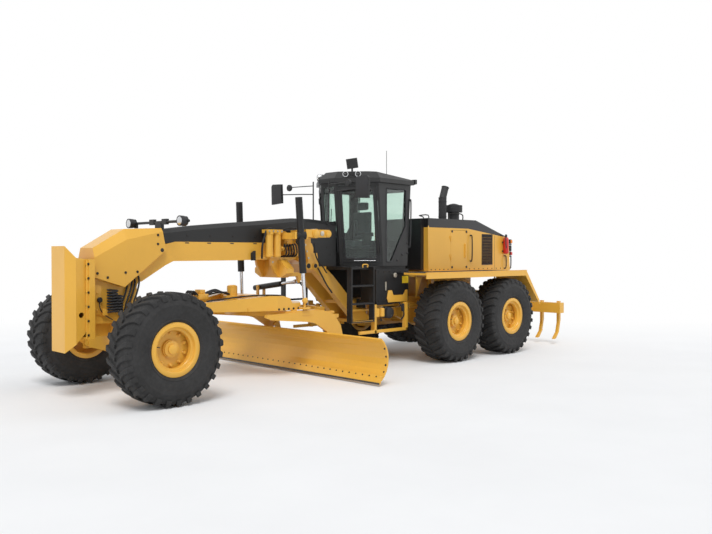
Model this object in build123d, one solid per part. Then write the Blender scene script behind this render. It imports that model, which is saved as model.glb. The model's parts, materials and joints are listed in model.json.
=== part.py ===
from build123d import *
import math
import os

os.makedirs("parts", exist_ok=True)

# Driving sizes in millimetres. X runs forward from the middle of the tandem,
# Y to the left, Z up from the ground. The last lines move the whole machine
# so that X = 0 is halfway between push plate and ripper.
TYRE_RADIUS = 805
TYRE_WIDTH = 600
TREAD_RADIUS = 757
LUG_COUNT = 18
LUG_WIDTH = 62
LUG_LENGTH = 262
LUG_ANGLE = 38
RIM_SEAT = 334.7
RIM_FLANGE = 384
RIM_BORE = 306
BEAD_HALF = 247.7
TRACK_HALF = 1351
FRONT_AXLE_X = 7365
TANDEM_HALF = 920
HITCH_X = 1750
FRAME_HALF = 180
LEG_HALF = 330
CIRCLE_X = 4300
CIRCLE_RADIUS = 911
CIRCLE_TOP = 1160
BLADE_LENGTH = 4877
BLADE_THICK = 25
BLADE_ARC = 413
BALL_X = 6970
BALL_Z = 1000
LEAN_Y = 900
LEAN_Z = 700
LEAN_BAR_Z = 1010
KINGPIN_Y = 1060
TIE_PLAY = 14
TIE_ARM = 280
TIE_Z = 540
LIFT_X = 4430
LIFT_Y = 870
LIFT_Z = 2450
CAB_LOW = 1900
CAB_TOP = 3500
CAB_HEIGHT = 3719
CAB_WALL = 40
CAB_REAR_LOW = 1560
CAB_REAR_HIGH = 1450
SIDE_SLOPE = 0.06
DOOR_PIN = 42.5
PIN_OUT = 13
HOOD_HALF = 750
HOOD_WALL = 20
SHANK_PITCH = 445
GAP = 0.3
PUSH_PLATE_X = 8340
TOW_BORE = 40
RIPPER_END_X = -3330
MODEL_SHIFT = -(PUSH_PLATE_X + RIPPER_END_X) / 2


# Building helpers
def block(x0, x1, y0, y1, z0, z1):
    middle = Pos((x0 + x1) / 2, (y0 + y1) / 2, (z0 + z1) / 2)
    return middle * Box(abs(x1 - x0), abs(y1 - y0), abs(z1 - z0))


def side_plate(points, y0, y1):
    plane = Plane(origin=(0, y0, 0), x_dir=(1, 0, 0), z_dir=(0, -1, 0))
    face = plane * make_face(Polyline(*points, close=True))
    return extrude(face, amount=y1 - y0, dir=(0, 1, 0))


def top_plate(points, z0, z1):
    face = Pos(0, 0, z0) * make_face(Polyline(*points, close=True))
    return extrude(face, amount=z1 - z0, dir=(0, 0, 1))


def face_plate(points, x0, x1):
    plane = Plane(origin=(x0, 0, 0), x_dir=(0, 1, 0), z_dir=(1, 0, 0))
    face = plane * make_face(Polyline(*points, close=True))
    return extrude(face, amount=x1 - x0, dir=(1, 0, 0))


def rod(start, end, radius):
    span = Vector(*end) - Vector(*start)
    face = Plane(origin=start, z_dir=span) * Circle(radius)
    return extrude(face, amount=span.length, dir=span)


def ball(centre, radius):
    return Pos(*centre) * Sphere(radius)


def join(*pieces):
    whole = pieces[0]
    for piece in pieces[1:]:
        whole = whole + piece
    return whole


def both(shape):
    return shape + mirror(shape, about=Plane.XZ)


def other_side(shape):
    return mirror(shape, about=Plane.XZ)


def sections_x(sections):
    """A body with straight sides between outlines standing at several X."""
    faces = []
    for x, points in sections:
        plane = Plane(origin=(x, 0, 0), x_dir=(0, 1, 0), z_dir=(1, 0, 0))
        faces.append(plane * make_face(Polyline(*points, close=True)))
    return loft(faces, ruled=True)


def sections_z(sections):
    """A body with straight sides between outlines lying at several Z."""
    faces = []
    for z, points in sections:
        faces.append(Pos(0, 0, z) * make_face(Polyline(*points, close=True)))
    return loft(faces, ruled=True)


nodes = {}

# Tyres and rims, built about their own centre with outboard at +Y
lug_turn = math.radians(LUG_ANGLE)
lug_corner = LUG_LENGTH / 2 * math.sin(lug_turn) + LUG_WIDTH / 2 * math.cos(lug_turn)
lug_reach = LUG_LENGTH / 2 * math.cos(lug_turn) + LUG_WIDTH / 2 * math.sin(lug_turn)
lug_top = math.sqrt(TYRE_RADIUS**2 - lug_corner**2)
lug_depth = lug_top - TREAD_RADIUS + 36
lug_phase = math.degrees(math.atan2(lug_corner, lug_top))


def ring_face(radius, y):
    plane = Plane(origin=(0, y, 0), x_dir=(1, 0, 0), z_dir=(0, 1, 0))
    return plane * RegularPolygon(radius, 2 * LUG_COUNT, major_radius=False)


def tyre():
    half = TYRE_WIDTH / 2
    side = [(RIM_FLANGE + 4, BEAD_HALF), (565, half), (TREAD_RADIUS - 12, half - 34)]
    profile = [(r, -y) for r, y in side] + [(r, y) for r, y in reversed(side)]
    carcass = loft([ring_face(r, y) for r, y in profile], ruled=True)
    bore = extrude(ring_face(RIM_SEAT + GAP, -half), amount=2 * half, dir=(0, 1, 0))
    carcass = carcass - bore
    lugs = []
    for number in range(LUG_COUNT):
        for hand in (1, -1):
            turn = 360 / LUG_COUNT * (number + (0 if hand > 0 else 0.5)) + lug_phase
            height = lug_top - lug_depth / 2
            place = Pos(0, hand * (lug_reach + 8), height) * Rot(0, 0, hand * LUG_ANGLE)
            lugs.append(Rot(0, turn, 0) * place * Box(LUG_WIDTH, LUG_LENGTH, lug_depth))
    return carcass + lugs


def rim():
    profile = [
        (0, 125),
        (130, 125),
        (130, 92),
        (RIM_BORE, 92),
        (RIM_BORE, 238),
        (RIM_BORE + 16, 258),
        (RIM_FLANGE, 258),
        (RIM_FLANGE, 248),
        (RIM_SEAT, 248),
        (RIM_SEAT, -248),
        (RIM_FLANGE, -248),
        (RIM_FLANGE, -258),
        (RIM_BORE + 16, -258),
        (RIM_BORE, -238),
        (RIM_BORE, 60),
        (0, 60),
    ]
    return revolve(make_face(Polyline(*profile, close=True)), axis=Axis.Y)


WHEELS = [
    ("front_left", FRONT_AXLE_X, 1),
    ("front_right", FRONT_AXLE_X, -1),
    ("mid_left", TANDEM_HALF, 1),
    ("mid_right", TANDEM_HALF, -1),
    ("rear_left", -TANDEM_HALF, 1),
    ("rear_right", -TANDEM_HALF, -1),
]
one_tyre = tyre()
one_rim = rim()
for name, x, hand in WHEELS:
    turn = Rot(0, 0, 0) if hand > 0 else Rot(0, 0, 180)
    nodes["tyre_" + name] = Pos(x, hand * TRACK_HALF, TYRE_RADIUS) * turn * one_tyre
    nodes["rim_" + name] = Pos(x, hand * TRACK_HALF, TYRE_RADIUS) * turn * one_rim

# Front axle: lean yokes, knuckles, tie rod and steering cylinder
AX = FRONT_AXLE_X
cheek = [
    (LEAN_Y - 65, LEAN_Z - 45),
    (LEAN_Y + 40, LEAN_Z - 60),
    (990, LEAN_Z - 45),
    (990, 955),
    (LEAN_Y + 45, LEAN_BAR_Z + 45),
    (LEAN_Y - 45, LEAN_BAR_Z + 45),
]
lug_plan = block(AX - 60, AX + 60, 980, KINGPIN_Y, 905, 950) + Pos(AX, KINGPIN_Y, 927.5) * Cylinder(60, 45)
yoke_left = join(
    face_plate(cheek, AX + 65 + GAP, AX + 95),
    face_plate(cheek, AX - 95, AX - 65 - GAP),
    block(AX - 95, AX + 95, 970, 990, 655, 955),
    lug_plan,
    Pos(0, 0, -245) * lug_plan,
    rod((AX - 95, LEAN_Y, LEAN_Z), (AX - 108, LEAN_Y, LEAN_Z), 42),
    rod((AX + 95, LEAN_Y, LEAN_Z), (AX + 108, LEAN_Y, LEAN_Z), 42),
    rod((AX - 106, LEAN_Y, LEAN_BAR_Z), (AX + 106, LEAN_Y, LEAN_BAR_Z), 18),
)
nodes["lean_yoke_left"] = yoke_left
nodes["lean_yoke_right"] = other_side(yoke_left)

arm_plan = [
    (AX + 60, 1150),
    (AX - 40, 1150),
    (AX - 60, KINGPIN_Y + 25),
    (AX - TIE_ARM - 25, KINGPIN_Y + 25),
    (AX - TIE_ARM - 25, KINGPIN_Y - 25),
    (AX + 60, KINGPIN_Y - 25),
]
knuckle = join(
    Pos(AX, KINGPIN_Y, 805) * Cylinder(65, 200 - 2 * GAP),
    block(AX - 60, AX + 60, KINGPIN_Y, 1150, 745, 865),
    block(AX - 56, AX + 56, 1122, 1148, 604, 800),
    rod((AX, 1150, 805), (AX, 1180, 805), 150),
    rod((AX, 1180, 805), (AX, TRACK_HALF + 60 - GAP, 805), 62),
    top_plate(arm_plan, 590, 620),
)
left_stud = rod((AX - TIE_ARM, KINGPIN_Y, TIE_Z + 22 + GAP), (AX - TIE_ARM, KINGPIN_Y, 600), 12)
right_stud = rod((AX - TIE_ARM, KINGPIN_Y, TIE_Z), (AX - TIE_ARM, KINGPIN_Y, 600), 12)
right_ball = ball((AX - TIE_ARM, KINGPIN_Y, TIE_Z), 22)
nodes["knuckle_left"] = knuckle + left_stud
nodes["knuckle_right"] = other_side(join(knuckle, right_stud, right_ball))
nodes["tie_rod_end"] = ball((AX - TIE_ARM, KINGPIN_Y, TIE_Z), 22)
tie_half = KINGPIN_Y - 22 - GAP
nodes["tie_rod"] = rod((AX - TIE_ARM, TIE_PLAY - tie_half, TIE_Z), (AX - TIE_ARM, tie_half, TIE_Z), 22)

lean_lug = block(AX - 85, AX, 180, 220, 885, LEAN_BAR_Z)
eye = rod((AX - 64, LEAN_Y, LEAN_BAR_Z), (AX + 64, LEAN_Y, LEAN_BAR_Z), 42)
eye_hole = rod((AX - 70, LEAN_Y, LEAN_BAR_Z), (AX + 70, LEAN_Y, LEAN_BAR_Z), 18 + GAP)
nodes["lean_bar"] = join(
    rod((AX, -LEAN_Y + 30, LEAN_BAR_Z), (AX, LEAN_Y - 30, LEAN_BAR_Z), 32),
    both(eye),
    lean_lug,
    rod((AX - 65, -420, 905), (AX - 65, 200, 905), 20),
) - both(eye_hole)

beam = [(-780, 640), (780, 640), (780, 760), (500, 860), (-500, 860), (-780, 760)]
lean_tube = rod((AX - 65, -700, 905), (AX - 65, -250, 905), 50)
lean_bore = rod((AX - 65, -640, 905), (AX - 65, -240, 905), 40)
cyl_x = AX - 360
bracket = [
    (AX - 130, 650),
    (AX - 130, 740),
    (cyl_x - 30, 740),
    (cyl_x - 30, TIE_Z),
    (cyl_x + 30, TIE_Z),
    (cyl_x + 45, 650),
]
steer_tube = rod((cyl_x, -235, TIE_Z), (cyl_x, 235, TIE_Z), 45)
steer_bore = rod((cyl_x, -240, TIE_Z), (cyl_x, 240, TIE_Z), 22 + GAP)
nodes["front_axle"] = join(
    face_plate(beam, AX - 130, AX + 130),
    both(block(AX - 60, AX + 60, 780, LEAN_Y, 640, 760)),
    both(rod((AX - 65, LEAN_Y, LEAN_Z), (AX + 65, LEAN_Y, LEAN_Z), 65)),
    lean_tube,
    both(side_plate(bracket, 150, 180)),
    steer_tube,
) - lean_bore - steer_bore
nodes["steer_rods"] = join(
    rod((cyl_x, -480, TIE_Z), (cyl_x, 480, TIE_Z), 22),
    both(rod((cyl_x, 470, TIE_Z), (cyl_x, 520, TIE_Z), 34)),
    both(block(cyl_x, cyl_x + 52, 475, 515, TIE_Z - 20, TIE_Z + 20)),
)

# Front frame: gooseneck, two legs, hitch plates, bolster and nose plate
gooseneck = [
    (7150, 1700),
    (7090, 1710),
    (6670, 1955),
    (6525, 2020),
    (5300, 2024),
    (4800, 2033),
    (4000, 2033),
    (3760, 1940),
    (3570, 1785),
    (3520, 1785),
    (3520, 2250),
    (3560, 2331),
    (4800, 2331),
    (6490, 2331),
    (6730, 2278),
    (7150, 2200),
]
leg = [
    (3950, 2033),
    (3760, 1940),
    (3570, 1780),
    (3350, 1590),
    (3150, 1410),
    (2940, 1200),
    (2720, 1000),
    (2610, 880),
    (2570, 805),
    (2080, 800),
    (2080, 830),
    (2470, 1120),
    (2720, 1300),
    (2940, 1520),
    (3150, 1720),
    (3300, 1840),
    (3400, 1895),
    (3520, 1895),
    (3560, 2150),
    (3950, 2150),
]
hitch = [(2600, 250), (2600, -250), (2200, -200), (HITCH_X, -130), (HITCH_X, 130), (2200, 200)]
hitch_up = [(2900, 250), (2900, -250), (2200, -200), (HITCH_X, -130), (HITCH_X, 130), (2200, 200)]
art_lug = [(2750, 320), (2450, 320), (2010, 520), (2010, 600), (2100, 600), (2750, 400)]
bolster_plate = block(AX - 190, AX - 130 - GAP, -FRAME_HALF, FRAME_HALF, 780, 1100)
nose_box = [
    (AX - 190, 1100),
    (AX - 190, 1640),
    (7150, 1700),
    (7150, 2200),
    (7700, 2200),
    (7840, 2140),
    (7840, 1765),
    (7960, 1765),
    (7960, 1100),
]
nodes["front_frame"] = join(
    side_plate(gooseneck, -FRAME_HALF, FRAME_HALF),
    both(side_plate(leg, FRAME_HALF, LEG_HALF)),
    top_plate(hitch, 800, 860),
    Pos(HITCH_X, 0, 830) * Cylinder(130, 60),
    top_plate(hitch_up, 1180, 1240),
    Pos(HITCH_X, 0, 1210) * Cylinder(130, 60),
    Pos(HITCH_X, 0, 1255) * Cylinder(70, 30),
    side_plate(nose_box, -FRAME_HALF, FRAME_HALF),
    bolster_plate,
    block(AX + 130 + GAP, AX + 190, -FRAME_HALF, FRAME_HALF, 780, 1110),
    block(7950, 8000 - GAP, -370, 370, 900, 2060),
    block(AX + 190, 7960, -60, 60, 900, 1110),
    block(BALL_X - 70, AX - 180, -100, 100, BALL_Z + 70 + GAP, BALL_Z + 110),
    block(BALL_X - 70, AX - 180, -100, 100, BALL_Z - 110, BALL_Z - 70 - GAP),
    block(3000, 3500, -250, 250, 1840, 1895),
    both(top_plate(art_lug, 1030, 1060 - GAP)),
)

cover_rows = [(2935, 2745), (3515, 2783), (3560, 2786), (4000, 2786), (4780, 2714), (5380, 2667), (6120, 2600), (6760, 2520)]
cover_sections = []
for x, top in cover_rows:
    low = 1895 + GAP if x < 3550 else (2331 + GAP if x < 6500 else 2300)
    half = FRAME_HALF
    outline = [(-half, low), (half, low), (half, top - 70), (half - 70, top), (-half + 70, top), (-half, top - 70)]
    cover_sections.append((x, outline))
cover = sections_x(cover_sections) - side_plate(gooseneck, -200, 200)
mirror_x = 3250
pipe_x = 3160
mirror_arms = join(
    rod((pipe_x, 222, 2690), (pipe_x, 222, 3530), 13),
    block(pipe_x - 30, pipe_x + 30, 170, 232, 2690, 2710),
    rod((pipe_x, 222, 3450), (mirror_x, 830, 3450), 9),
    rod((pipe_x, 222, 3285), (mirror_x, 420, 3292), 10),
    rod((mirror_x, 414, 3292), (mirror_x, 1060, 3320), 10.2),
    rod((mirror_x - 20, 830, 3440), (mirror_x + 20, 830, 3440), 62),
    face_plate([(1040, 3150), (1360, 3130), (1370, 3500), (1330, 3540), (1060, 3530)], mirror_x - 20, mirror_x + 25),
)
nodes["frame_cover"] = join(
    cover - block(6700, 6800, -400, 400, 2200, 2600),
    block(6640, 6700, -90, 90, 2500, 2640),
    rod((6680, -870, 2640), (6680, 870, 2640), 22),
    both(block(6655, 6695, 700, 760, 2560, 2650)),
    both(rod((6670, 780, 2640), (6790, 780, 2640), 72)),
    both(block(6655, 6705, 120, 260, 2600, 2690)),
    both(mirror_arms),
)
nose_rows = [(6700, 285, 2500, 260, 2545), (7400, 285, 2351, 205, 2515), (7905, 262, 2080, 200, 2225)]
nose_outline = [(7905, 1790), (7905, 2700), (6810, 2700), (6790, 2542), (6720, 2197), (7430, 1637)]
nose_sections = []
for x, half, shoulder, top_half, top in nose_rows:
    outline = [(-half, 1500), (half, 1500), (half, shoulder), (top_half, top), (-top_half, top), (-half, shoulder)]
    nose_sections.append((x, outline))
nose_shell = sections_x(nose_sections) & side_plate(nose_outline, -300, 300)
nose_core = [(6600, 1500), (7850, 1500), (7850, 2150), (7500, 2360), (6600, 2400)]
nodes["nose_cover"] = nose_shell - side_plate(nose_core, -FRAME_HALF - GAP, FRAME_HALF + GAP)

front_face = [(-220, 710), (220, 710), (220, 2250), (-220, 2250)]
back_face = [(-294, 830), (294, 830), (294, 2080), (-294, 2080)]
push_side = [(8040, 1010), (8200, 830), (8200, 2080), (8040, 2060)]
nodes["push_block"] = join(
    sections_x([(8200, back_face), (PUSH_PLATE_X, front_face)]),
    both(side_plate(push_side, 262, 290)),
    side_plate(push_side, -20, 20),
    block(8000, 8040, -370, 370, 900, 2060),
    both(block(8030, 8210, 20, 265, 900, 930)),
    both(block(8030, 8210, 20, 265, 1940, 1970)),
) - rod((8120, -300, 1250), (8120, 300, 1250), TOW_BORE)

# Blade lift saddle with trunnion forks, filters and valve block
shift_anchor = (3990, 300, 1640)
SKEW = math.degrees(math.atan2(LIFT_Y + 30, BALL_X - LIFT_X + 58))
fork = block(-120, -85 - GAP, -100, 35, -60, 60) + block(85 + GAP, 120, -100, 35, -60, 60)
fork = fork + block(-120, 120, -135, -96, -60, 60)
fork_left = Pos(LIFT_X, LIFT_Y, LIFT_Z) * Rot(0, 0, -SKEW) * fork
saddle_side = [
    (3980, 2060),
    (4000, 2420),
    (4250, 2540),
    (4560, 2540),
    (4640, 2300),
    (4560, 1930),
    (4420, 1710),
    (4235, 1710),
    (4235, 1990),
]
lift_arm = [
    (3990, 2440),
    (3800, 2440),
    (3790, 2330),
    (3835, 2250),
    (3800, 2120),
    (3730, 2000),
    (3680, 1960),
    (3640, 1900),
    (3700, 1850),
    (3900, 1850),
    (3930, 1930),
    (3850, 2010),
    (3900, 2150),
    (3960, 2300),
]
casting = [
    (-460, 1790),
    (-300, 1710),
    (300, 1710),
    (460, 1790),
    (460, 1870),
    (260, 2032 - GAP),
    (-260, 2032 - GAP),
    (-460, 1870),
]
nodes["lift_saddle"] = join(
    both(side_plate(saddle_side, FRAME_HALF + GAP, 235)),
    face_plate(casting, 4240, 4400),
    both(block(4300, 4430, 230, LIFT_Y - 110, 2395, 2505)),
    both(fork_left),
    both(block(3900, 4110, 225, LIFT_Y + 20, 2430, 2560)),
    both(block(3770, 4325, LIFT_Y - 70, LIFT_Y + 20, 2425, 2560)),
    both(rod((3810, LIFT_Y - 90, 2490), (3810, LIFT_Y + 45, 2490), 62)),
    both(rod((4100, LIFT_Y - 90, 2490), (4100, LIFT_Y + 40, 2490), 80)),
    both(side_plate(lift_arm, 345, 415)),
    both(block(3800, 3990, 345, LIFT_Y - 40, 2425, 2540)),
    both(rod((3870, LEG_HALF + GAP, 1915), (3870, 440, 1915), 62)),
    both(rod((3700, LEG_HALF + GAP, 1915), (3700, 440, 1915), 55)),
    block(3958, 4250, 268, 332, 1725, 1800),
    block(3958, 4022, 268, 332, 1652, 1800),
    ball(shift_anchor, 32),
    both(rod((4690, 330, 2080), (4690, 330, 2520), 68)),
    both(rod((4515, 330, 2080), (4515, 330, 2520), 68)),
    both(block(4440, 4770, 225, 400, 2500, 2560)),
)

# Blade lift cylinders
BALL_L = (4372, 900, 1330)
axis_l = Vector(*BALL_L) - Vector(LIFT_X, LIFT_Y, LIFT_Z)
unit_l = axis_l.normalized()
centre_l = Vector(LIFT_X, LIFT_Y, LIFT_Z)
lift_length = axis_l.length


def along(distance):
    return tuple(centre_l + unit_l * distance)


skew_axis = Vector(math.cos(math.radians(SKEW)), -math.sin(math.radians(SKEW)), 0)
collar_a = tuple(centre_l - skew_axis * 85)
collar_b = tuple(centre_l + skew_axis * 85)
barrel_left = join(
    rod(along(-660), along(650), 62),
    rod(collar_a, collar_b, 68),
) - rod(along(-270), along(660), 32 + GAP)
nodes["lift_barrel_left"] = barrel_left
nodes["lift_barrel_right"] = other_side(barrel_left)
lift_rod_left = rod(along(140), along(lift_length), 32) + ball(BALL_L, 45)
nodes["lift_rod_left"] = lift_rod_left
nodes["lift_rod_right"] = other_side(lift_rod_left)

# Drawbar with its ball, circle drive and centre shift cylinder
nodes["drawbar_ball"] = ball((BALL_X, 0, BALL_Z), 70)
arm_top = [
    (BALL_X - 70 - GAP, 60),
    (BALL_X - 70 - GAP, -60),
    (BALL_X - 350, -120),
    (5960, -300),
    (4900, -825),
    (4400, -825),
    (4070, -420),
    (4070, 420),
    (4400, 825),
    (4900, 825),
    (5960, 300),
    (BALL_X - 350, 120),
]
arm_hole = [(6350, 0), (5930, -170), (5100, -570), (5100, 570), (5930, 170)]
rear_hole = [(4780, -600), (4780, 600), (4330, 600), (4330, -600)]
arm_side = [
    (BALL_X - 70 - GAP, 950),
    (BALL_X - 70 - GAP, 1050),
    (6640, 1130),
    (5990, 1330),
    (5000, 1425),
    (4780, 1420),
    (4640, 1380),
    (4580, 1290),
    (4070, 1280),
    (4070, 1172),
    (5000, 1172),
    (5900, 1172),
    (6640, 960),
]
drawbar_body = top_plate(arm_top, 900, 1500) & side_plate(arm_side, -900, 900)
drawbar_body = drawbar_body - top_plate(arm_hole, 880, 1500) - top_plate(rear_hole, 880, 1500)
pedestal_z = BALL_L[2] - 45 - 1
pedestal = join(
    block(4290, 4450, 820, 960, 1180, 1215),
    rod((BALL_L[0], BALL_L[1], 1200), (BALL_L[0], BALL_L[1], pedestal_z), 20),
)
shift_pin = (4010, -780, 1500)
nodes["drawbar"] = join(
    drawbar_body,
    both(pedestal),
    block(3920, 4480, -822, -738, 1180, 1275),
    block(3922, 3948, -812, -748, 1270, 1536),
    block(4072, 4098, -812, -748, 1270, 1536),
    both(block(4500, 4600, 790, 850, CIRCLE_TOP + GAP, 1180)),
    both(block(5110, 5180, 150, 250, CIRCLE_TOP + GAP, 1180)),
    rod((5250, 0, 1172), (5250, 0, 1420), 150),
    rod((5250, 0, 1420), (5250, 0, 1560), 90),
    block(5130, 5370, -620, 620, 1172, 1230),
)
shift_vector = Vector(*shift_anchor) - Vector(*shift_pin)
shift_unit = shift_vector.normalized()
shift_reach = shift_vector.length


def shift_at(distance):
    return tuple(Vector(*shift_pin) + shift_unit * distance)


shift_tube = rod(shift_at(-180), shift_at(600), 52) + rod((3948 + GAP, -780, 1500), (4072 - GAP, -780, 1500), 30)
nodes["shift_barrel"] = shift_tube - rod(shift_at(-150), shift_at(610), 26 + GAP)
shift_head = rod(shift_at(shift_reach - 110), shift_at(shift_reach - 60), 40)
nodes["shift_rod"] = rod(shift_at(216), shift_at(shift_reach - 80), 26) + shift_head

# Circle with arms, blade carrier, moldboard and tip cylinders
ring = Pos(CIRCLE_X, 0, 1117) * Cylinder(CIRCLE_RADIUS, 85) - Pos(CIRCLE_X, 0, 1117) * Cylinder(CIRCLE_RADIUS - 90, 90)
blade_arm = [
    (5220, 1080),
    (5200, 1120),
    (3940, 1144),
    (3670, 1060),
    (3500, 850),
    (3447, 650),
    (3480, 380),
    (3560, 290),
    (3680, 290),
    (3710, 440),
    (3790, 700),
    (3850, 760),
    (4107, 915),
    (4247, 950),
    (5100, 1030),
]
TIP_X = 3620
TIP_Z = 380
tip_top = (3560, 712, 1000)
tip_pin = (3800, 712, 640)
tip_vector = Vector(*tip_pin) - Vector(*tip_top)
tip_unit = tip_vector.normalized()


def tip_at(distance):
    return tuple(Vector(*tip_top) + tip_unit * distance)


tip_tube = rod(tip_at(0), tip_at(310), 38) - rod(tip_at(40), tip_at(320), 20 + GAP)
nodes["circle"] = join(
    ring,
    both(side_plate(blade_arm, 850, 900)),
    both(block(3620, 5100, 780, 855, 1075, 1115)),
    both(rod((TIP_X, 840, TIP_Z), (TIP_X, 910, TIP_Z), 75)),
    both(block(3510, 3620, 690, 855, 985, 1050)),
    both(tip_tube),
)
nodes["tip_rods"] = both(
    join(
        rod(tip_at(110), tip_at(tip_vector.length), 20),
        rod((tip_pin[0], 694, tip_pin[2]), (tip_pin[0], 735, tip_pin[2]), 30),
    )
)
carrier_plate = [
    (3550, 300),
    (3550, 450),
    (3640, 500),
    (3740, 680),
    (3885 - GAP, 680),
    (3885 - GAP, 590),
    (3800, 560),
    (3800, 310),
    (3870 - GAP, 285),
    (3870 - GAP, 205),
    (3700, 205),
    (3600, 250),
]
nodes["blade_carrier"] = join(
    both(side_plate(carrier_plate, 735 + GAP, 840 - GAP)),
    rod((3700, -790, 300), (3700, 790, 300), 32),
    block(3780, 3895, 760, 800, 400, 480),
    rod((3855, -850, 440), (3855, 790, 440), 22),
)
BLADE_X = 4345
BLADE_Z = 430


def blade_curve(radius):
    count = 8
    low = -52
    high = 52
    points = []
    for step in range(count + 1):
        turn = math.radians(low + (high - low) * step / count)
        points.append((BLADE_X - radius * math.cos(turn), BLADE_Z + radius * math.sin(turn)))
    return points


front_curve = blade_curve(BLADE_ARC)
back_curve = blade_curve(BLADE_ARC + BLADE_THICK)
blade_outline = front_curve + list(reversed(back_curve))
edge_plate = [(4052, 170), (4078, 176), (4134, 40), (4106, 40)]
half_blade = BLADE_LENGTH / 2
shift_tube_y = -1640
side_tube = rod((3855, shift_tube_y, 440), (3855, 0, 440), 42)
side_bore = rod((3855, shift_tube_y + 40, 440), (3855, 10, 440), 22 + GAP)
nodes["moldboard"] = join(
    side_plate(blade_outline, -half_blade, half_blade),
    side_plate(edge_plate, -half_blade, half_blade),
    block(3885, 3975, -1800, 1800, 600, 660),
    block(3870, 3960, -1800, 1800, 215, 275),
    side_tube,
    block(3860, 3915, shift_tube_y, shift_tube_y + 60, 410, 470),
    block(3880, 3915, -60, 0, 410, 470),
) - side_bore

# Rear frame, engine, hood and fenders
rear_neck = [(HITCH_X, -120), (HITCH_X, 120), (1450, 300), (1300, 380), (1300, -380), (1450, -300)]
rail = [(1400, 860), (1400, 1250), (-2100, 1250), (-2400, 1100), (-2400, 900), (1000, 700)]
ART_Z = 1080
ART_Y = 560
ART_EYE_X = 2050
art_tube = rod((620, ART_Y, ART_Z), (1250, ART_Y, ART_Z), 50)
art_bore = rod((700, ART_Y, ART_Z), (1260, ART_Y, ART_Z), 18 + GAP)
RIP_X = -2460
RIP_Z = 640
RIP_RISE = 240
RIP_END_X = -2990
RIP_END_Z = 800
rip_pin = (-3050, 0, 1040)
rip_top = (-2440, 0, 1330)
rip_ear = both(block(-2510, -2395, 380, 410 - GAP, 590, 940)) + both(block(-2510, -2395, 490 + GAP, 520, 590, 940))
rip_lug = both(block(-2490, -2390, 45 + GAP, 75, 1150, 1380))
nodes["rear_frame"] = join(
    top_plate(rear_neck, 860 + GAP, 1180 - GAP),
    Pos(HITCH_X, 0, 1020) * Cylinder(120, 320 - 2 * GAP),
    both(side_plate(rail, 300, 380)),
    block(900, 1420, -380, 380, 860, 1240),
    block(-2400, -2100, -900, 900, 760, 1250),
    block(-2400, -2200, -560, 560, 580, 770),
    block(-300, 300, -760, 760, 620, 1000),
    rod((0, 0, 640), (0, 0, 700), 250),
    rod((0, -780 + GAP, 805), (0, 780 - GAP, 805), 170),
    both(art_tube),
    both(block(600, 700, 370, 560, ART_Z - 50, ART_Z + 50)),
    rip_ear,
    rip_lug,
    block(-1200, 350, -310, 310, 990, 2200),
) - both(art_bore)
art_rod = rod((900, ART_Y, ART_Z), (ART_EYE_X, ART_Y, ART_Z), 18)
art_rod = art_rod + rod((ART_EYE_X, ART_Y, ART_Z - 20), (ART_EYE_X, ART_Y, ART_Z + 20), 36)
nodes["art_rod_left"] = art_rod
nodes["art_rod_right"] = other_side(art_rod)
rip_vector = Vector(*rip_pin) - Vector(*rip_top)
rip_unit = rip_vector.normalized()


def rip_at(distance):
    return tuple(Vector(*rip_top) + rip_unit * distance)


rip_tube = rod((rip_top[0], -45, rip_top[2]), (rip_top[0], 45, rip_top[2]), 48) + rod(rip_at(10), rip_at(590), 44)
nodes["ripper_barrel"] = rip_tube - rod(rip_at(100), rip_at(600), 24 + GAP)
rip_rod = rod(rip_at(150), rip_at(rip_vector.length - 10), 24)
nodes["ripper_rod"] = rip_rod + rod((rip_pin[0], -40, rip_pin[2]), (rip_pin[0], 40, rip_pin[2]), 36)
hood_outer = [(860, 1770), (860, 2870), (-780, 2870), (-2060, 2500), (-2124, 1755)]
hood_inner = [(840, 1740), (840, 2850), (-776, 2850), (-2040, 2484), (-2104, 1740)]
hood_shell = side_plate(hood_outer, -HOOD_HALF, HOOD_HALF) - side_plate(hood_inner, -HOOD_HALF + HOOD_WALL, HOOD_HALF - HOOD_WALL)
door_low = (110, -480, 1800, 2640)
door_hole = block(door_low[0], door_low[1], HOOD_HALF - 40, HOOD_HALF + 20, door_low[2], door_low[3])
grille_hole = block(-1020, -1400, HOOD_HALF - 40, HOOD_HALF + 20, 1900, 2560)
slats = []
for number in range(9):
    z = 1960 + 65 * number
    slats.append(block(-1010, -1410, HOOD_HALF - 18, HOOD_HALF - 6, z, z + 30))
hood = hood_shell - both(door_hole) - both(grille_hole)
for slat in slats:
    hood = hood + both(slat)
nodes["hood"] = join(
    hood,
    block(860, 960, -640, 640, 1800, 2860),
    both(rod((-1340, 300, 2700), (-1340, 300, 2860), 16)),
    both(rod((-1970, 300, 2500), (-1970, 300, 2700), 16)),
    both(rod((-1340, 300, 2860), (-1970, 300, 2700), 16)),
)
door_panel = block(
    door_low[0] - 5, door_low[1] + 5, HOOD_HALF - HOOD_WALL, HOOD_HALF, door_low[2] + 5, door_low[3] - 5
)
HOOD_PIN = (107.5, HOOD_HALF + 12)
hood_door = join(
    door_panel,
    block(-400, -380, HOOD_HALF - 5, HOOD_HALF + 25, 2050, 2350),
)
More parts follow.
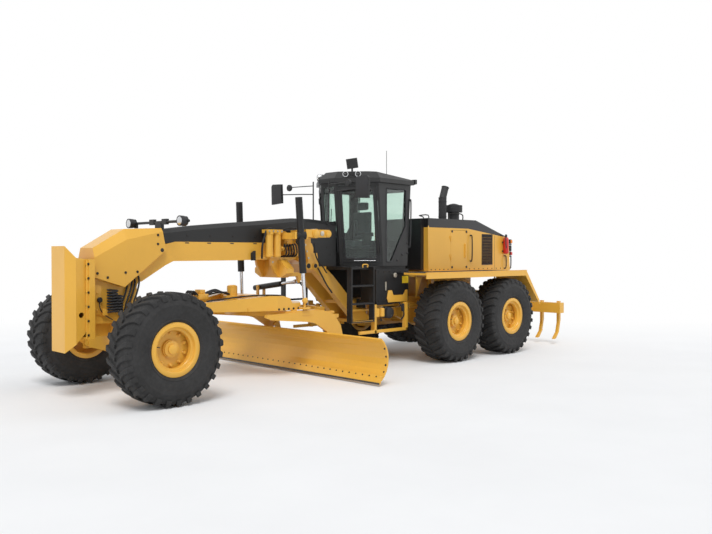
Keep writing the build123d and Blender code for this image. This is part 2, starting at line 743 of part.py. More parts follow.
for z in (2000, 2400):
    knuckle_low = rod((HOOD_PIN[0], HOOD_PIN[1], z), (HOOD_PIN[0], HOOD_PIN[1], z + 60), 10)
    leaf_low = block(60, HOOD_PIN[0], HOOD_HALF - 5, HOOD_HALF + 9, z, z + 60)
    hood_door = hood_door + knuckle_low + leaf_low
    knuckle_top = rod((HOOD_PIN[0], HOOD_PIN[1], z + 60 + GAP), (HOOD_PIN[0], HOOD_PIN[1], z + 120), 10)
    leaf_top = block(HOOD_PIN[0], 150, HOOD_HALF - 5, HOOD_HALF + 9, z + 60 + GAP, z + 120)
    nodes["hood"] = nodes["hood"] + both(knuckle_top + leaf_top)
nodes["hood_door_left"] = hood_door
nodes["hood_door_right"] = other_side(hood_door)

fender_top = [(1950, 1600), (1950, 1050), (1300, 1050), (1300, 740), (-2000, 740), (-2000, 1600)]
fender_side = [(1950, 1770), (-1460, 1770), (-1990, 1100), (-1990, 1060), (-1470, 1700), (1950, 1730)]
fascia = [(1950, 1770), (-1460, 1770), (-1990, 1100), (-1990, 1010), (-1430, 1660), (1950, 1660)]
deck = side_plate(fender_side, HOOD_HALF + GAP, 1600) & top_plate(fender_top, 900, 1900)
nodes["fenders"] = join(
    both(deck),
    both(side_plate(fascia, 1600, 1612)),
    block(870, 1250, -760, 760, 1670, 1764),
    both(block(700, 800, 380 + GAP, 780, 1200, 1240)),
    both(block(700, 800, 740, 780, 1200, 1740)),
    both(block(-1700, -1600, 380 + GAP, 780, 1200, 1240)),
    both(block(-1700, -1600, 740, 780, 1200, 1500)),
)
tandem_side = [(-1150, 560), (1150, 560), (1250, 800), (1150, 1050), (-1150, 1050), (-1250, 800)]
tandem = side_plate(tandem_side, 780, 1000)
for x in (-TANDEM_HALF, TANDEM_HALF):
    tandem = tandem + rod((x, 1000, 805), (x, 1100, 805), 180)
    tandem = tandem + rod((x, 1100, 805), (x, TRACK_HALF + 60 - GAP, 805), 90)
nodes["tandem_cases"] = both(tandem)
stack = rod((-560, 0, 2870 + GAP), (-560, 0, 3400), 90)
nodes["exhaust"] = join(
    stack,
    rod((-560, 0, 3380), (-660, 0, 3640), 80),
    rod((-960, 0, 2830), (-960, 0, 3240), 130),
    rod((-960, 0, 3080), (-960, 0, 3240), 200),
) - side_plate(hood_outer, -760, 760)

# Cab, six-sided in plan: a narrow windscreen, two slanting doors and the rear room
DOOR_REAR = Vector(2310, 840, CAB_LOW)
DOOR_FRONT = Vector(2840, 200, CAB_LOW)
LEAN = Vector(135, 5, CAB_TOP - CAB_LOW)


def cab_plan(rear_x, lean_x, lean_y):
    post_x = DOOR_REAR.X + lean_x
    post_y = DOOR_REAR.Y + lean_y
    rear_y = post_y - (post_x - rear_x) * SIDE_SLOPE
    left = [(rear_x, rear_y), (post_x, post_y), (DOOR_FRONT.X + lean_x, DOOR_FRONT.Y + lean_y)]
    return left + [(x, -y) for x, y in reversed(left)]


cab_low = cab_plan(CAB_REAR_LOW, 0, 0)
cab_high = cab_plan(CAB_REAR_HIGH, LEAN.X, LEAN.Y)


def inset(points, distance):
    ring = make_face(Polyline(*points, close=True))
    return offset(ring, amount=-distance, kind=Kind.INTERSECTION)


def cab_box(distance):
    low = Pos(0, 0, CAB_LOW) * inset(cab_low, distance)
    return loft([low, Pos(0, 0, CAB_TOP) * inset(cab_high, distance)], ruled=True)


# In the slanting door plane, along runs forward from the rear post and z is the height
door_back = (DOOR_REAR - DOOR_FRONT).normalized()
door_out = door_back.cross(LEAN).normalized()
door_up = door_out.cross(door_back)
door_line = LEAN.normalized()


def door_point(along, z, out):
    rise = LEAN * ((z - CAB_LOW) / (CAB_TOP - CAB_LOW))
    return DOOR_REAR - door_back * along + rise + door_out * out


def door_sheet(points, inner, outer, shrink=0):
    flat = []
    for along, z in points:
        step = door_point(along, z, 0) - DOOR_REAR
        flat.append((step.dot(door_back), step.dot(door_up)))
    face = make_face(Polyline(*flat, close=True))
    if shrink:
        face = offset(face, amount=-shrink, kind=Kind.INTERSECTION)
    plane = Plane(origin=DOOR_REAR + door_out * inner, x_dir=door_back, z_dir=door_out)
    return extrude(plane * face, amount=outer - inner, dir=door_out)


def door_patch(along_0, along_1, z0, z1, inner, outer):
    return door_sheet([(along_0, z0), (along_1, z0), (along_1, z1), (along_0, z1)], inner, outer)


def cab_hinge(z, height, reach):
    """A knuckle on the hinge line and its leaf; a negative reach lies on the door."""
    start = door_point(DOOR_PIN, z, PIN_OUT)
    plane = Plane(origin=start - door_out * (PIN_OUT + 5), x_dir=door_line.cross(door_out), z_dir=door_out)
    leaf = plane * make_face(Polyline((0, 0), (reach, 0), (reach, height), (0, height), close=True))
    return rod(tuple(start), tuple(start + door_line * height), 11) + extrude(leaf, amount=15, dir=door_out)


cab_outer = cab_box(0.001)
cab_wall = cab_outer - cab_box(CAB_WALL)
floor_plate = cab_outer & block(1000, 4000, -900, 900, CAB_LOW, CAB_LOW + CAB_WALL)
screen_half = 150
screen_low = 2150
screen_high = 3420
windscreen = block(2700, 3100, -screen_half, screen_half, screen_low, screen_high)
rear_window = block(1300, 1700, -640, 640, 2400, 3380)
side_window = [(1600, 3400), (2215, 3400), (2215, 1980), (2060, 1980), (1600, 2680)]
door_window = [(110, 2100), (170, 2040), (680, 2040), (730, 2100), (730, 3310), (680, 3365), (150, 3365), (110, 3310)]
door_gap = door_patch(40, 790, 1960, 3440, -70, 70)
shell = join(cab_wall, floor_plate) - windscreen - rear_window
shell = shell - both(side_plate(side_window, 740, 880)) - both(door_gap)
door_frame = join(
    (cab_wall & door_patch(45, 785, 1965, 3435, -70, 70)) - door_sheet(door_window, -70, 70),
    door_patch(745, 770, 2150, 2180, -5, 40),
    door_patch(745, 770, 2420, 2450, -5, 40),
    door_patch(745, 770, 2150, 2450, 25, 40),
)
for z in (2150, 3150):
    door_frame = door_frame + cab_hinge(z, 60, -62)
    shell = shell + both(cab_hinge(z + 60 + GAP / 3, 60, 36))
nodes["cab_shell"] = shell
pane = cab_box(16) - cab_box(24)


def smaller(points, distance):
    face = make_face(Polyline(*points, close=True))
    plane = Plane(origin=(0, 740, 0), x_dir=(1, 0, 0), z_dir=(0, -1, 0))
    return extrude(plane * offset(face, amount=-distance, kind=Kind.INTERSECTION), amount=140, dir=(0, 1, 0))


glass_front = pane & block(
    2700, 3100, -screen_half + GAP, screen_half - GAP, screen_low + GAP, screen_high - GAP
)
glass_rear = pane & block(1300, 1700, -640 + GAP, 640 - GAP, 2400 + GAP, 3380 - GAP)
glass_side = pane & smaller(side_window, GAP)
nodes["cab_glass"] = Compound([glass_front.solid(), glass_rear.solid(), glass_side.solid(), other_side(glass_side).solid()])
door_pane = pane & door_sheet(door_window, -70, 70, GAP)
nodes["cab_door_left"] = Compound([door_frame.solid(), door_pane.solid()])
nodes["cab_door_right"] = mirror(nodes["cab_door_left"], about=Plane.XZ)

roof_z = CAB_TOP + GAP
roof_edge = extrude(Pos(0, 0, roof_z) * inset(cab_high, -50), amount=80, dir=(0, 0, 1))
crown = loft([Pos(0, 0, roof_z + 80) * inset(cab_high, -50), Pos(0, 0, CAB_HEIGHT) * inset(cab_high, 100)], ruled=True)
crown = crown - side_plate([(1300, 3590), (1300, 3900), (2500, 3900), (2500, CAB_HEIGHT)], -900, 900)
roof = roof_edge + crown
for x, y in ((2840, 355), (2690, 545)):
    lamp = rod((x - 40, y - 30, 3655), (x + 45, y + 34, 3655), 48) + block(x - 20, x + 20, y - 20, y + 20, 3560, 3640)
    roof = roof + both(lamp)
for y in (420, 760):
    roof = roof + both(block(1300, 1420, y - 12, y + 12, 3520, 3545) + block(1290, 1350, y - 55, y + 55, 3530, 3620))
beacon = Pos(2765, 450, 3860) * Rot(0, 12, 40) * Box(90, 210, 190)
nodes["cab_roof"] = join(
    roof,
    rod((2765, 450, 3600), (2765, 450, 3860), 18),
    beacon,
    rod((1850, 500, 3560), (1850, 500, 4180), 5),
    rod((1850, 500, 3560), (1850, 500, 3720), 14),
)
nodes["cab_interior"] = join(
    block(2520, 2740, -140, 140, CAB_LOW + CAB_WALL + GAP, 2250),
    block(2600, 2760, -110, 110, 2250, 2420),
    block(1640, 1860, -600, 600, CAB_LOW + CAB_WALL + GAP, 2180),
)
nodes["operator_seat"] = join(
    block(2070, 2410, -200, 200, CAB_LOW + CAB_WALL + GAP, 2250),
    block(2000, 2500, -260, 260, 2250, 2400),
    block(1950, 2080, -250, 250, 2380, 3000),
    block(1960, 2070, -150, 150, 3000, 3180),
    both(block(2050, 2520, 265, 345, 2300, 2560)),
    both(block(2050, 2350, 200, 300, 2250, 2320)),
    both(block(2440, 2520, 270, 340, 2560, 2680)),
)
tank_side = [(1600, 1200), (2100, 1160), (2500, 1160), (2540, 1250), (2540, 1840), (1600, 1840)]
deck_plan = [
    (1600, -780),
    (3330, -780),
    (3330, -LEG_HALF - GAP),
    (2860, -LEG_HALF - GAP),
    (2860, LEG_HALF + GAP),
    (3330, LEG_HALF + GAP),
    (3330, 780),
    (1600, 780),
]
nodes["side_tanks_steps"] = join(
    top_plate(deck_plan, 1840, CAB_LOW - GAP),
    both(block(2470, 2530, LEG_HALF + GAP, 520, 1090, 1250)),
    both(side_plate(tank_side, 460, 860)),
    both(block(2720, 2750, 880, 1000, 870, 1890)),
    both(block(3300, 3330, 880, 1000, 870, 1890)),
    both(block(2720, 3330, 760, 890, 1850, 1890)),
    both(block(2720, 3330, 880, 1000, 870, 895)),
    both(block(2720, 3330, 880, 1000, 1200, 1225)),
    both(block(2720, 3330, 880, 1000, 1530, 1555)),
)

# Ripper
beam_side = [(-3240, 740), (-3060, 740), (-3060, 980), (-3240, 980)]
pocket_side = [(-3330, 760), (-3230, 760), (-3230, 960), (-3330, 960)]
shank = [
    (-3330, 1010),
    (-3250, 1010),
    (-3250, 500),
    (-3180, 250),
    (-3040, 130),
    (-3120, 140),
    (-3260, 300),
    (-3330, 560),
]
rip_cheek = [(-3070, 940), (-3110, 1000), (-3090, 1070), (-3010, 1070), (-2990, 1000), (-3061, 940)]
rip_plate = [(-3065, 745), (-2950, 745), (-2940, 800), (-2960, 900), (-2940, 1040), (-2960, 1090), (-3040, 1090), (-3065, 960)]
ripper = join(
    side_plate(beam_side, -1500, 1500),
    both(side_plate(rip_plate, 380, 410 - GAP)),
    both(side_plate(rip_plate, 490 + GAP, 520)),
    side_plate(rip_cheek, -70, -41),
    side_plate(rip_cheek, 41, 70),
)


def link(rise, radius):
    start = Vector(RIP_X, 0, RIP_Z + rise)
    end = Vector(RIP_END_X, 0, RIP_END_Z + rise)
    side = Vector(0, 0, radius - 5)
    low = [start - side, end - side, end + side, start + side]
    bar = side_plate([(point.X, point.Z) for point in low], 410, 490)
    head = rod((RIP_X, 410, RIP_Z + rise), (RIP_X, 490, RIP_Z + rise), radius)
    foot = rod((RIP_END_X, 410, RIP_END_Z + rise), (RIP_END_X, 490, RIP_END_Z + rise), radius)
    return both(join(bar, head, foot))


nodes["ripper_arms"] = link(0, 42) + block(-2700, -2640, -420, 420, 660, 730)
nodes["ripper_links"] = link(RIP_RISE, 34)
for number in range(-3, 4):
    y = number * SHANK_PITCH
    ripper = ripper + side_plate(pocket_side, y - 60, y - 31) + side_plate(pocket_side, y + 31, y + 60)
    ripper = ripper + side_plate(shank, y - 31, y + 31)
nodes["ripper"] = ripper

for name, shape in nodes.items():
    export_step(Pos(MODEL_SHIFT, 0, 0) * shape, "parts/" + name + ".step")
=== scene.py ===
import json
import math

import bmesh
import bpy
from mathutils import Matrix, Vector


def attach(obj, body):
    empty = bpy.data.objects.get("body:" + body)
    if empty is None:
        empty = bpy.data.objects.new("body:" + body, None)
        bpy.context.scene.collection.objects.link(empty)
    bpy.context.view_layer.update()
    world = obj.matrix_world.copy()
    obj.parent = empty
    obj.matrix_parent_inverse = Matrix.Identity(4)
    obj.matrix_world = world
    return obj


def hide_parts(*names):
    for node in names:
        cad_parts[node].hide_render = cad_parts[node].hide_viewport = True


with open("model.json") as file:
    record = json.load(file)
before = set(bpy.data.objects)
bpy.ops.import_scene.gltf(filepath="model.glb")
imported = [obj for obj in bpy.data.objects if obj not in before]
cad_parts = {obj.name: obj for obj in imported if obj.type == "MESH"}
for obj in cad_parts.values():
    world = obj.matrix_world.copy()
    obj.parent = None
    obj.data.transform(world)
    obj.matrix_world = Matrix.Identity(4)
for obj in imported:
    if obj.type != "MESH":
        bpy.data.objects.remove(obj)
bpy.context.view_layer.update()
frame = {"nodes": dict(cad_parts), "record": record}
NODES = frame["nodes"]
HANDS = (("left", 1), ("right", -1))

# Lengths in millimetres: SHIFT is the X of the frame's zero, and the sides are distances from the middle
SHIFT = 2505
TRACK = 1351
AXLES = {"front": 7365, "mid": 920, "rear": -920}
WHEEL_Z = 805
FRAME_SIDE = 180
TANK_SIDE = 860
HOOD_SIDE = 750
BLADE_HALF = 2438
BOLT_SEED = 7


def placed(name, data):
    made = bpy.data.objects.new(name, data)
    bpy.context.scene.collection.objects.link(made)
    return made


# Camera
camera = placed("camera", bpy.data.cameras.new("camera"))
yaw, pitch = math.radians(-133.68), math.radians(-0.816)
aim = Vector((math.cos(pitch) * math.cos(yaw), math.cos(pitch) * math.sin(yaw), math.sin(pitch)))
camera.location = (10.545, 10.765, 2.147)
camera.rotation_euler = aim.to_track_quat("-Z", "Y").to_euler()
camera.data.sensor_width = 36
camera.data.lens = 38.5
camera.data.shift_x = 0.0285
camera.data.shift_y = -0.0042
camera.data.clip_end = 200
bpy.context.scene.camera = camera


# Materials
class Tree:
    """A node tree with short calls to add nodes and join them."""

    def __init__(self, tree):
        self.tree = tree

    def node(self, kind, **values):
        made = self.tree.nodes.new(kind)
        for key, value in values.items():
            setattr(made, key, value)
        return made

    def put(self, value, socket):
        """Links an output to the socket, or sets a plain value on the socket itself."""
        if hasattr(value, "is_linked"):
            self.tree.links.new(value, socket)
        else:
            socket.default_value = value

    def fill(self, node, **sockets):
        """Fills a node's named inputs and gives the node back."""
        for key, value in sockets.items():
            self.put(value, node.inputs[key.replace("_", " ")])
        return node

    def join(self, kind, **sockets):
        return self.fill(self.node(kind), **sockets)

    def math(self, operation, a, b):
        made = self.node("ShaderNodeMath", operation=operation)
        self.put(a, made.inputs[0])
        self.put(b, made.inputs[1])
        return made.outputs[0]

    def seen_by_eye(self):
        """1 for camera, glossy and transmission rays, so that metal and glass show the background."""
        path = self.node("ShaderNodeLightPath")
        seen = path.outputs["Is Camera Ray"]
        for kind in ("Is Glossy Ray", "Is Transmission Ray"):
            seen = self.math("MAXIMUM", seen, path.outputs[kind])
        return seen

    def blend(self, factor, first, second, output):
        """Mixes two shaders into the tree's output node."""
        mixed = self.node("ShaderNodeMixShader")
        for number, value in enumerate((factor, first, second)):
            self.put(value, mixed.inputs[number])
        self.put(mixed.outputs[0], self.tree.nodes[output].inputs["Surface"])


class Finish(Tree):
    """A material's nodes, with its shader and the object's own coordinates."""

    def __init__(self, name):
        self.material = bpy.data.materials.new(name)
        self.material.use_nodes = True
        super().__init__(self.material.node_tree)
        self.shader = self.tree.nodes["Principled BSDF"]
        self.object = self.node("ShaderNodeTexCoord").outputs["Object"]

    def noise(self, scale, detail, rough=0.55, stretch=None):
        source = self.object
        if stretch:
            source = self.join("ShaderNodeMapping", Vector=source, Scale=stretch).outputs["Vector"]
        made = self.join("ShaderNodeTexNoise", Vector=source, Scale=scale, Detail=detail, Roughness=rough)
        return made.outputs["Fac"]

    def span(self, value, low, high, to_low=0.0, to_high=1.0):
        made = self.node("ShaderNodeMapRange", clamp=True)
        self.fill(made, Value=value, From_Min=low, From_Max=high, To_Min=to_low, To_Max=to_high)
        return made.outputs["Result"]

    def mix(self, factor, a, b, kind="MIX"):
        made = self.node("ShaderNodeMix", data_type="RGBA", blend_type=kind)
        self.put(factor, made.inputs[0])
        self.put(a, made.inputs[6])
        self.put(b, made.inputs[7])
        return made.outputs[2]

    def axis(self, letter):
        return self.join("ShaderNodeSeparateXYZ", Vector=self.object).outputs[letter]

    def bump(self, height, strength, distance):
        made = self.join("ShaderNodeBump", Strength=strength, Distance=distance, Height=height)
        return made.outputs["Normal"]


def rgb(colour, factor=1.0, lift=0.0):
    return tuple(c * factor + lift for c in colour) + (1.0,)


DUST = (0.42, 0.33, 0.22)
CHALK = (0.16, 0.145, 0.12)
# Brightening for pointy edges: partly paint wear, partly a painted edge highlight
EDGE_WEAR_AND_HIGHLIGHT = (1.4, 1.4, 1.4)


def paint(name, colour, rough, dust, metallic=0.0, grain=0.1, fleck=900, coat=0.0, dark=None, edge=0.2):
    """Painted or plain metal with soft colour changes, fine grain, lighter worn edges that also paint an
    edge highlight, and dust low down.
    """
    t = Finish(name)
    shade = t.span(t.noise(1.7, 5), 0.3, 0.7, 0.97, 1.03)
    base = rgb(colour)
    if dark:
        base = dark(t, base)
    worn_and_highlit = t.mix(1.0, base, rgb(EDGE_WEAR_AND_HIGHLIGHT), "MULTIPLY")
    gray = t.join("ShaderNodeCombineColor", Red=shade, Green=shade, Blue=shade)
    base = t.mix(1.0, base, gray.outputs[0], "MULTIPLY")
    streak = t.span(t.noise(3.5, 8, 0.7, (1, 1, 0.25)), 0.56, 0.85)
    low = t.span(t.axis("Z"), 0.1, 1.5, 1.0, 0.12)
    amount = t.math("MULTIPLY", t.math("MULTIPLY", streak, low), dust)
    base = t.mix(amount, base, rgb(DUST))
    # Pointy edges are lightened in patches, by up to edge × 0.6: partly wear, partly a painted edge
    # highlight
    pointy = t.span(t.node("ShaderNodeNewGeometry").outputs["Pointiness"], 0.56, 0.68)
    edge_wear_and_highlight = t.math("MULTIPLY", t.math("MULTIPLY", pointy, t.span(t.noise(24, 4), 0.45, 0.6)), edge * 0.6)
    t.fill(
        t.shader,
        Base_Color=t.mix(edge_wear_and_highlight, base, worn_and_highlit),
        Roughness=t.span(t.noise(9, 5), 0.25, 0.75, rough - 0.04, rough + 0.06),
        Metallic=metallic,
        Specular_IOR_Level=0.35,
        Coat_Weight=coat,
        Coat_Roughness=0.12,
        Normal=t.bump(t.noise(fleck, 2), grain, 0.0006),
    )
    return t.material


COWL_X = (865 - SHIFT) / 1000
SLOPE_REAR_X, SLOPE_FRONT_X = (-1800 - SHIFT) / 1000, (-500 - SHIFT) / 1000
SLOPE_DROP = 0.15
BAND_Z = 2.68
HOOD_BLACK = (0.012, 0.012, 0.013)


def black_parts(t, base):
    """The hood's cowl end and its sloping top band are black, and the rest is yellow."""
    x, z = t.axis("X"), t.axis("Z")
    front = t.math("GREATER_THAN", x, COWL_X)
    slope = t.math("ADD", z, t.span(x, SLOPE_REAR_X, SLOPE_FRONT_X, SLOPE_DROP, 0.0))
    roof = t.math("GREATER_THAN", slope, BAND_Z)
    return t.mix(t.math("MAXIMUM", front, roof), base, rgb(HOOD_BLACK))


YELLOW = (0.74, 0.4, 0.052)
CHARCOAL = (0.013, 0.0133, 0.0136)
BLACK = (0.009, 0.009, 0.0095)
yellow = paint("yellow_enamel", YELLOW, 0.34, 0.07, coat=0.25)
hood_yellow = paint("yellow_enamel_hood", YELLOW, 0.34, 0.05, coat=0.25, dark=black_parts)
charcoal = paint("charcoal_enamel", CHARCOAL, 0.45, 0.12, grain=0.3, coat=0.1)
black = paint("black_enamel", BLACK, 0.42, 0.2, grain=0.25)
cast_black = paint("black_casting", (0.03, 0.03, 0.031), 0.6, 0.3, grain=0.6, fleck=320)
chrome = paint("chromed_rod", (0.72, 0.73, 0.75), 0.13, 0.04, metallic=1.0, grain=0.04, edge=0)
steel = paint("ground_steel", (0.32, 0.31, 0.3), 0.42, 0.25, metallic=0.9, grain=0.4, fleck=500)
edge_steel = paint("wear_steel", (0.075, 0.07, 0.068), 0.5, 0.35, metallic=0.6, grain=0.5, fleck=260)
bolt_dark = paint("bolt_black", (0.035, 0.033, 0.031), 0.45, 0.15, metallic=0.5)
bolt_zinc = paint("bolt_zinc", (0.5, 0.46, 0.38), 0.35, 0.1, metallic=0.85)
red = paint("red_enamel", (0.55, 0.02, 0.015), 0.3, 0.05, coat=0.4)
silver = paint("lamp_silver", (0.62, 0.63, 0.64), 0.22, 0.05, metallic=0.9)
plastic = paint("moulded_black", (0.028, 0.028, 0.03), 0.62, 0.15, grain=0.5, fleck=420, edge=0.1)
plate_yellow = paint("yellow_plate", (0.9, 0.62, 0.02), 0.5, 0.1)


def rubber(name, colour, scale, strength):
    t = Finish(name)
    tone = t.span(t.noise(2.6, 6), 0.3, 0.75)
    base = t.mix(tone, rgb(colour, 0.8), rgb(colour, 1.35, 0.004))
    chalk = t.math("MULTIPLY", t.span(t.noise(14, 8, 0.7), 0.55, 0.85), 0.12)
    t.fill(
        t.shader,
        Base_Color=t.mix(chalk, base, rgb(CHALK)),
        Roughness=t.span(t.noise(20, 4), 0.3, 0.7, 0.62, 0.85),
        Specular_IOR_Level=0.35,
        Normal=t.bump(t.noise(scale, 5), strength, 0.002),
    )
    return t.material


tyre_rubber = rubber("tyre_rubber", (0.021, 0.0205, 0.0205), 190, 0.35)
hose_rubber = rubber("hose_rubber", (0.018, 0.018, 0.019), 600, 0.2)


def glass(name, colour, rough=0.015):
    t = Finish(name)
    tint = t.mix(t.span(t.noise(1.2, 3), 0.3, 0.7), rgb(colour), rgb(colour, 0.94))
    haze = t.span(t.noise(5, 5), 0.45, 0.75, rough, rough + 0.035)
    t.fill(t.shader, Base_Color=tint, Transmission_Weight=1.0, Roughness=haze, IOR=1.45)
    return t.material


cab_glass = glass("green_tinted_glass", (0.72, 0.86, 0.79))
lens_clear = glass("lamp_lens_clear", (0.96, 0.97, 0.97), 0.05)
lens_amber = paint("lamp_lens_amber", (0.85, 0.25, 0.01), 0.15, 0.02, coat=0.9, edge=0)
lens_red = paint("lamp_lens_red", (0.6, 0.015, 0.01), 0.15, 0.02, coat=0.9, edge=0)
mirror_face = paint("mirror_face", (0.85, 0.87, 0.88), 0.04, 0.02, metallic=1.0, grain=0.0, edge=0)


def cloth(name, colour):
    t = Finish(name)
    wave = t.node("ShaderNodeTexWave", wave_type="BANDS", bands_direction="DIAGONAL")
    t.fill(wave, Vector=t.object, Scale=260, Distortion=1.5)
    base = t.mix(t.span(t.noise(6, 5), 0.3, 0.7), rgb(colour, 0.8), rgb(colour, 1.3))
    weave = t.bump(wave.outputs["Fac"], 0.25, 0.001)
    t.fill(t.shader, Base_Color=base, Roughness=0.9, Sheen_Weight=0.35, Normal=weave)
    return t.material


seat_fabric = cloth("seat_fabric", (0.045, 0.047, 0.055))

# Materials of the carried-over nodes
BY_SLOT = {
    "yellow_paint": yellow,
    "charcoal_paint": charcoal,
    "black_paint": black,
    "bare_steel": chrome,
    "tyre_rubber": tyre_rubber,
    "tinted_glass": cab_glass,
    "dark_plastic": plastic,
    "seat_cloth": seat_fabric,
}
for part in frame["record"]["subparts"]:
    node = NODES[part["node"]]
    node.data.materials.clear()
    node.data.materials.append(BY_SLOT[part["material_slot"]])
OWN_MATERIAL = {"hood": hood_yellow, "exhaust": cast_black, "tie_rod_end": steel, "drawbar_ball": steel}
for name, material in OWN_MATERIAL.items():
    NODES[name].data.materials[0] = material


# Building helpers
def metres(x, y, z):
    return Vector(((x - SHIFT) / 1000, y / 1000, z / 1000))


def angles(count):
    """Angles evenly round a circle."""
    return [2 * math.pi * step / count for step in range(count)]


def hoop(middle, across, other, radius, sides):
    """Points round a circle whose plane is given by two directions."""
    return [tuple(middle + (across * math.cos(t) + other * math.sin(t)) * radius) for t in angles(sides)]


def ridden(name, data, body):
    """Places a finished mesh on its moving body."""
    made = placed(name, data)
    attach(made, body)
    return made


def evaluated_copy(made):
    graph = bpy.context.evaluated_depsgraph_get()
    return bpy.data.meshes.new_from_object(made.evaluated_get(graph))


class Piece:
    """Collects boxes, turned shapes, plates and tubes, given in millimetres, into one mesh."""

    def __init__(self):
        self.mesh = bmesh.new()

    def add(self, points, faces, bevel=0.0):
        verts = [self.mesh.verts.new(metres(*p)) for p in points]
        made = [self.mesh.faces.new([verts[i] for i in face]) for face in faces]
        if bevel:
            edges = list({e for face in made for e in face.edges})
            bmesh.ops.bevel(
                self.mesh, geom=edges, offset=bevel / 1000, segments=2, affect="EDGES", profile=0.6
            )
        return self

    def skin(self, rings, looped=False):
        """Walls between rings of points; the ends are capped unless the last ring joins the first."""
        count = len(rings[0])
        faces = []
        for row in range(len(rings) if looped else len(rings) - 1):
            start, after = row * count, (row + 1) % len(rings) * count
            for step in range(count):
                ahead = (step + 1) % count
                faces.append((start + step, start + ahead, after + ahead, after + step))
        if not looped:
            faces.append(tuple(reversed(range(count))))
            faces.append(tuple(range((len(rings) - 1) * count, len(rings) * count)))
        return self.add([point for ring in rings for point in ring], faces)

    def box(self, x0, x1, y0, y1, z0, z1, bevel):
        points = [(x, y, z) for x in (x0, x1) for y in (y0, y1) for z in (z0, z1)]
        faces = [(0, 1, 3, 2), (4, 6, 7, 5), (0, 4, 5, 1), (2, 3, 7, 6), (0, 2, 6, 4), (1, 5, 7, 3)]
        return self.add(points, faces, bevel)

    def prism(self, low, high, bevel):
        """A prism between two lists of matching corners."""
        count = len(low)
        faces = [tuple(reversed(range(count))), tuple(range(count, 2 * count))]
        faces += [(i, (i + 1) % count, count + (i + 1) % count, count + i) for i in range(count)]
        return self.add(list(low) + list(high), faces, bevel)

    def side(self, points, y0, y1, bevel=2.0):
        """A plate whose outline is given in X and Z."""
        return self.prism([(x, y0, z) for x, z in points], [(x, y1, z) for x, z in points], bevel)

    def turned(self, start, end, profile, sides):
        """A solid turned about start to end; the profile gives (distance along, radius)."""
        start, end = Vector(start), Vector(end)
        axis = (end - start).normalized()
        across = axis.orthogonal().normalized()
        other = axis.cross(across)
        return self.skin([hoop(start + axis * reach, across, other, r, sides) for reach, r in profile])

    def pin(self, start, end, radius, sides):
        length = (Vector(end) - Vector(start)).length
        soft = min(2.5, radius * 0.4, length * 0.3)
        profile = [(0, radius - soft), (soft, radius), (length - soft, radius), (length, radius - soft)]
        return self.turned(start, end, profile, sides)

    def tube(self, points, radius, sides, smooth=6):
        """A round tube through the points, with smooth bends."""
        spots = [Vector(p) for p in points]
        path = []
        for i in range(len(spots) - 1):
            p0 = spots[max(i - 1, 0)]
            p1, p2 = spots[i], spots[i + 1]
            p3 = spots[min(i + 2, len(spots) - 1)]
            for step in range(smooth):
                s = step / smooth
                square = (2 * p0 - 5 * p1 + 4 * p2 - p3) * s * s
                cube = (3 * p1 - p0 - 3 * p2 + p3) * s**3
                path.append(0.5 * (2 * p1 + (p2 - p0) * s + square + cube))
        path.append(spots[-1])
        up = (path[1] - path[0]).orthogonal().normalized()
        rings = []
        for i, spot in enumerate(path):
            ahead = (path[min(i + 1, len(path) - 1)] - path[max(i - 1, 0)]).normalized()
            up = (up - ahead * up.dot(ahead)).normalized()
            rings.append(hoop(spot, up, ahead.cross(up), radius, sides))
        return self.skin(rings)

    def frame(self, ring, radius):
        """A thin closed frame along a ring of corners."""
        return self.tube(ring + ring[:1], radius, 8, 1)

    def mirrored(self):
        """Adds the same again on the other side."""
        whole = list(self.mesh.verts) + list(self.mesh.edges) + list(self.mesh.faces)
        copy = bmesh.ops.duplicate(self.mesh, geom=whole)
        verts = [g for g in copy["geom"] if isinstance(g, bmesh.types.BMVert)]
        faces = [g for g in copy["geom"] if isinstance(g, bmesh.types.BMFace)]
        for vert in verts:
            vert.co.y = -vert.co.y
        bmesh.ops.reverse_faces(self.mesh, faces=faces)
        return self

    def make(self, name, body, material, slot, angle=35):
        bmesh.ops.recalc_face_normals(self.mesh, faces=list(self.mesh.faces))
        data = bpy.data.meshes.new(name)
        self.mesh.to_mesh(data)
        self.mesh.free()
        data.materials.append(material)
        for face in data.polygons:
            face.use_smooth = True
        data.set_sharp_from_angle(angle=math.radians(angle))
        return ridden(name, data, body)


# Tyres and wheels
LUGS = 28
LUG_PITCH = math.radians(360 / LUGS)
LUG_SWEEP = math.radians(13.5)
LUG_HOOK = math.radians(3.2)
LUG_REACH = 272
TREAD_BASE = 764
# (part of the way to the shoulder, radius of the lug's top)
LUG_STATIONS = [
    (0.0, 801), (0.2, 802), (0.42, 801), (0.64, 799), (0.84, 795), (0.97, 787), (1.035, 764), (1.06, 722)
]
# (radius, distance from the middle plane), from bead to crown
SIDEWALL = [
    (388, 247), (396, 262), (418, 278), (424, 284), (432, 284), (438, 280), (470, 289), (520, 297),
    (565, 299), (612, 298), (618, 299.5), (628, 299.5), (634, 296), (672, 289), (706, 279), (730, 266),
    (748, 258), (764, 222), (771, 130), (773, 0),
]
BEAD = [(336, -240), (352, -247)]


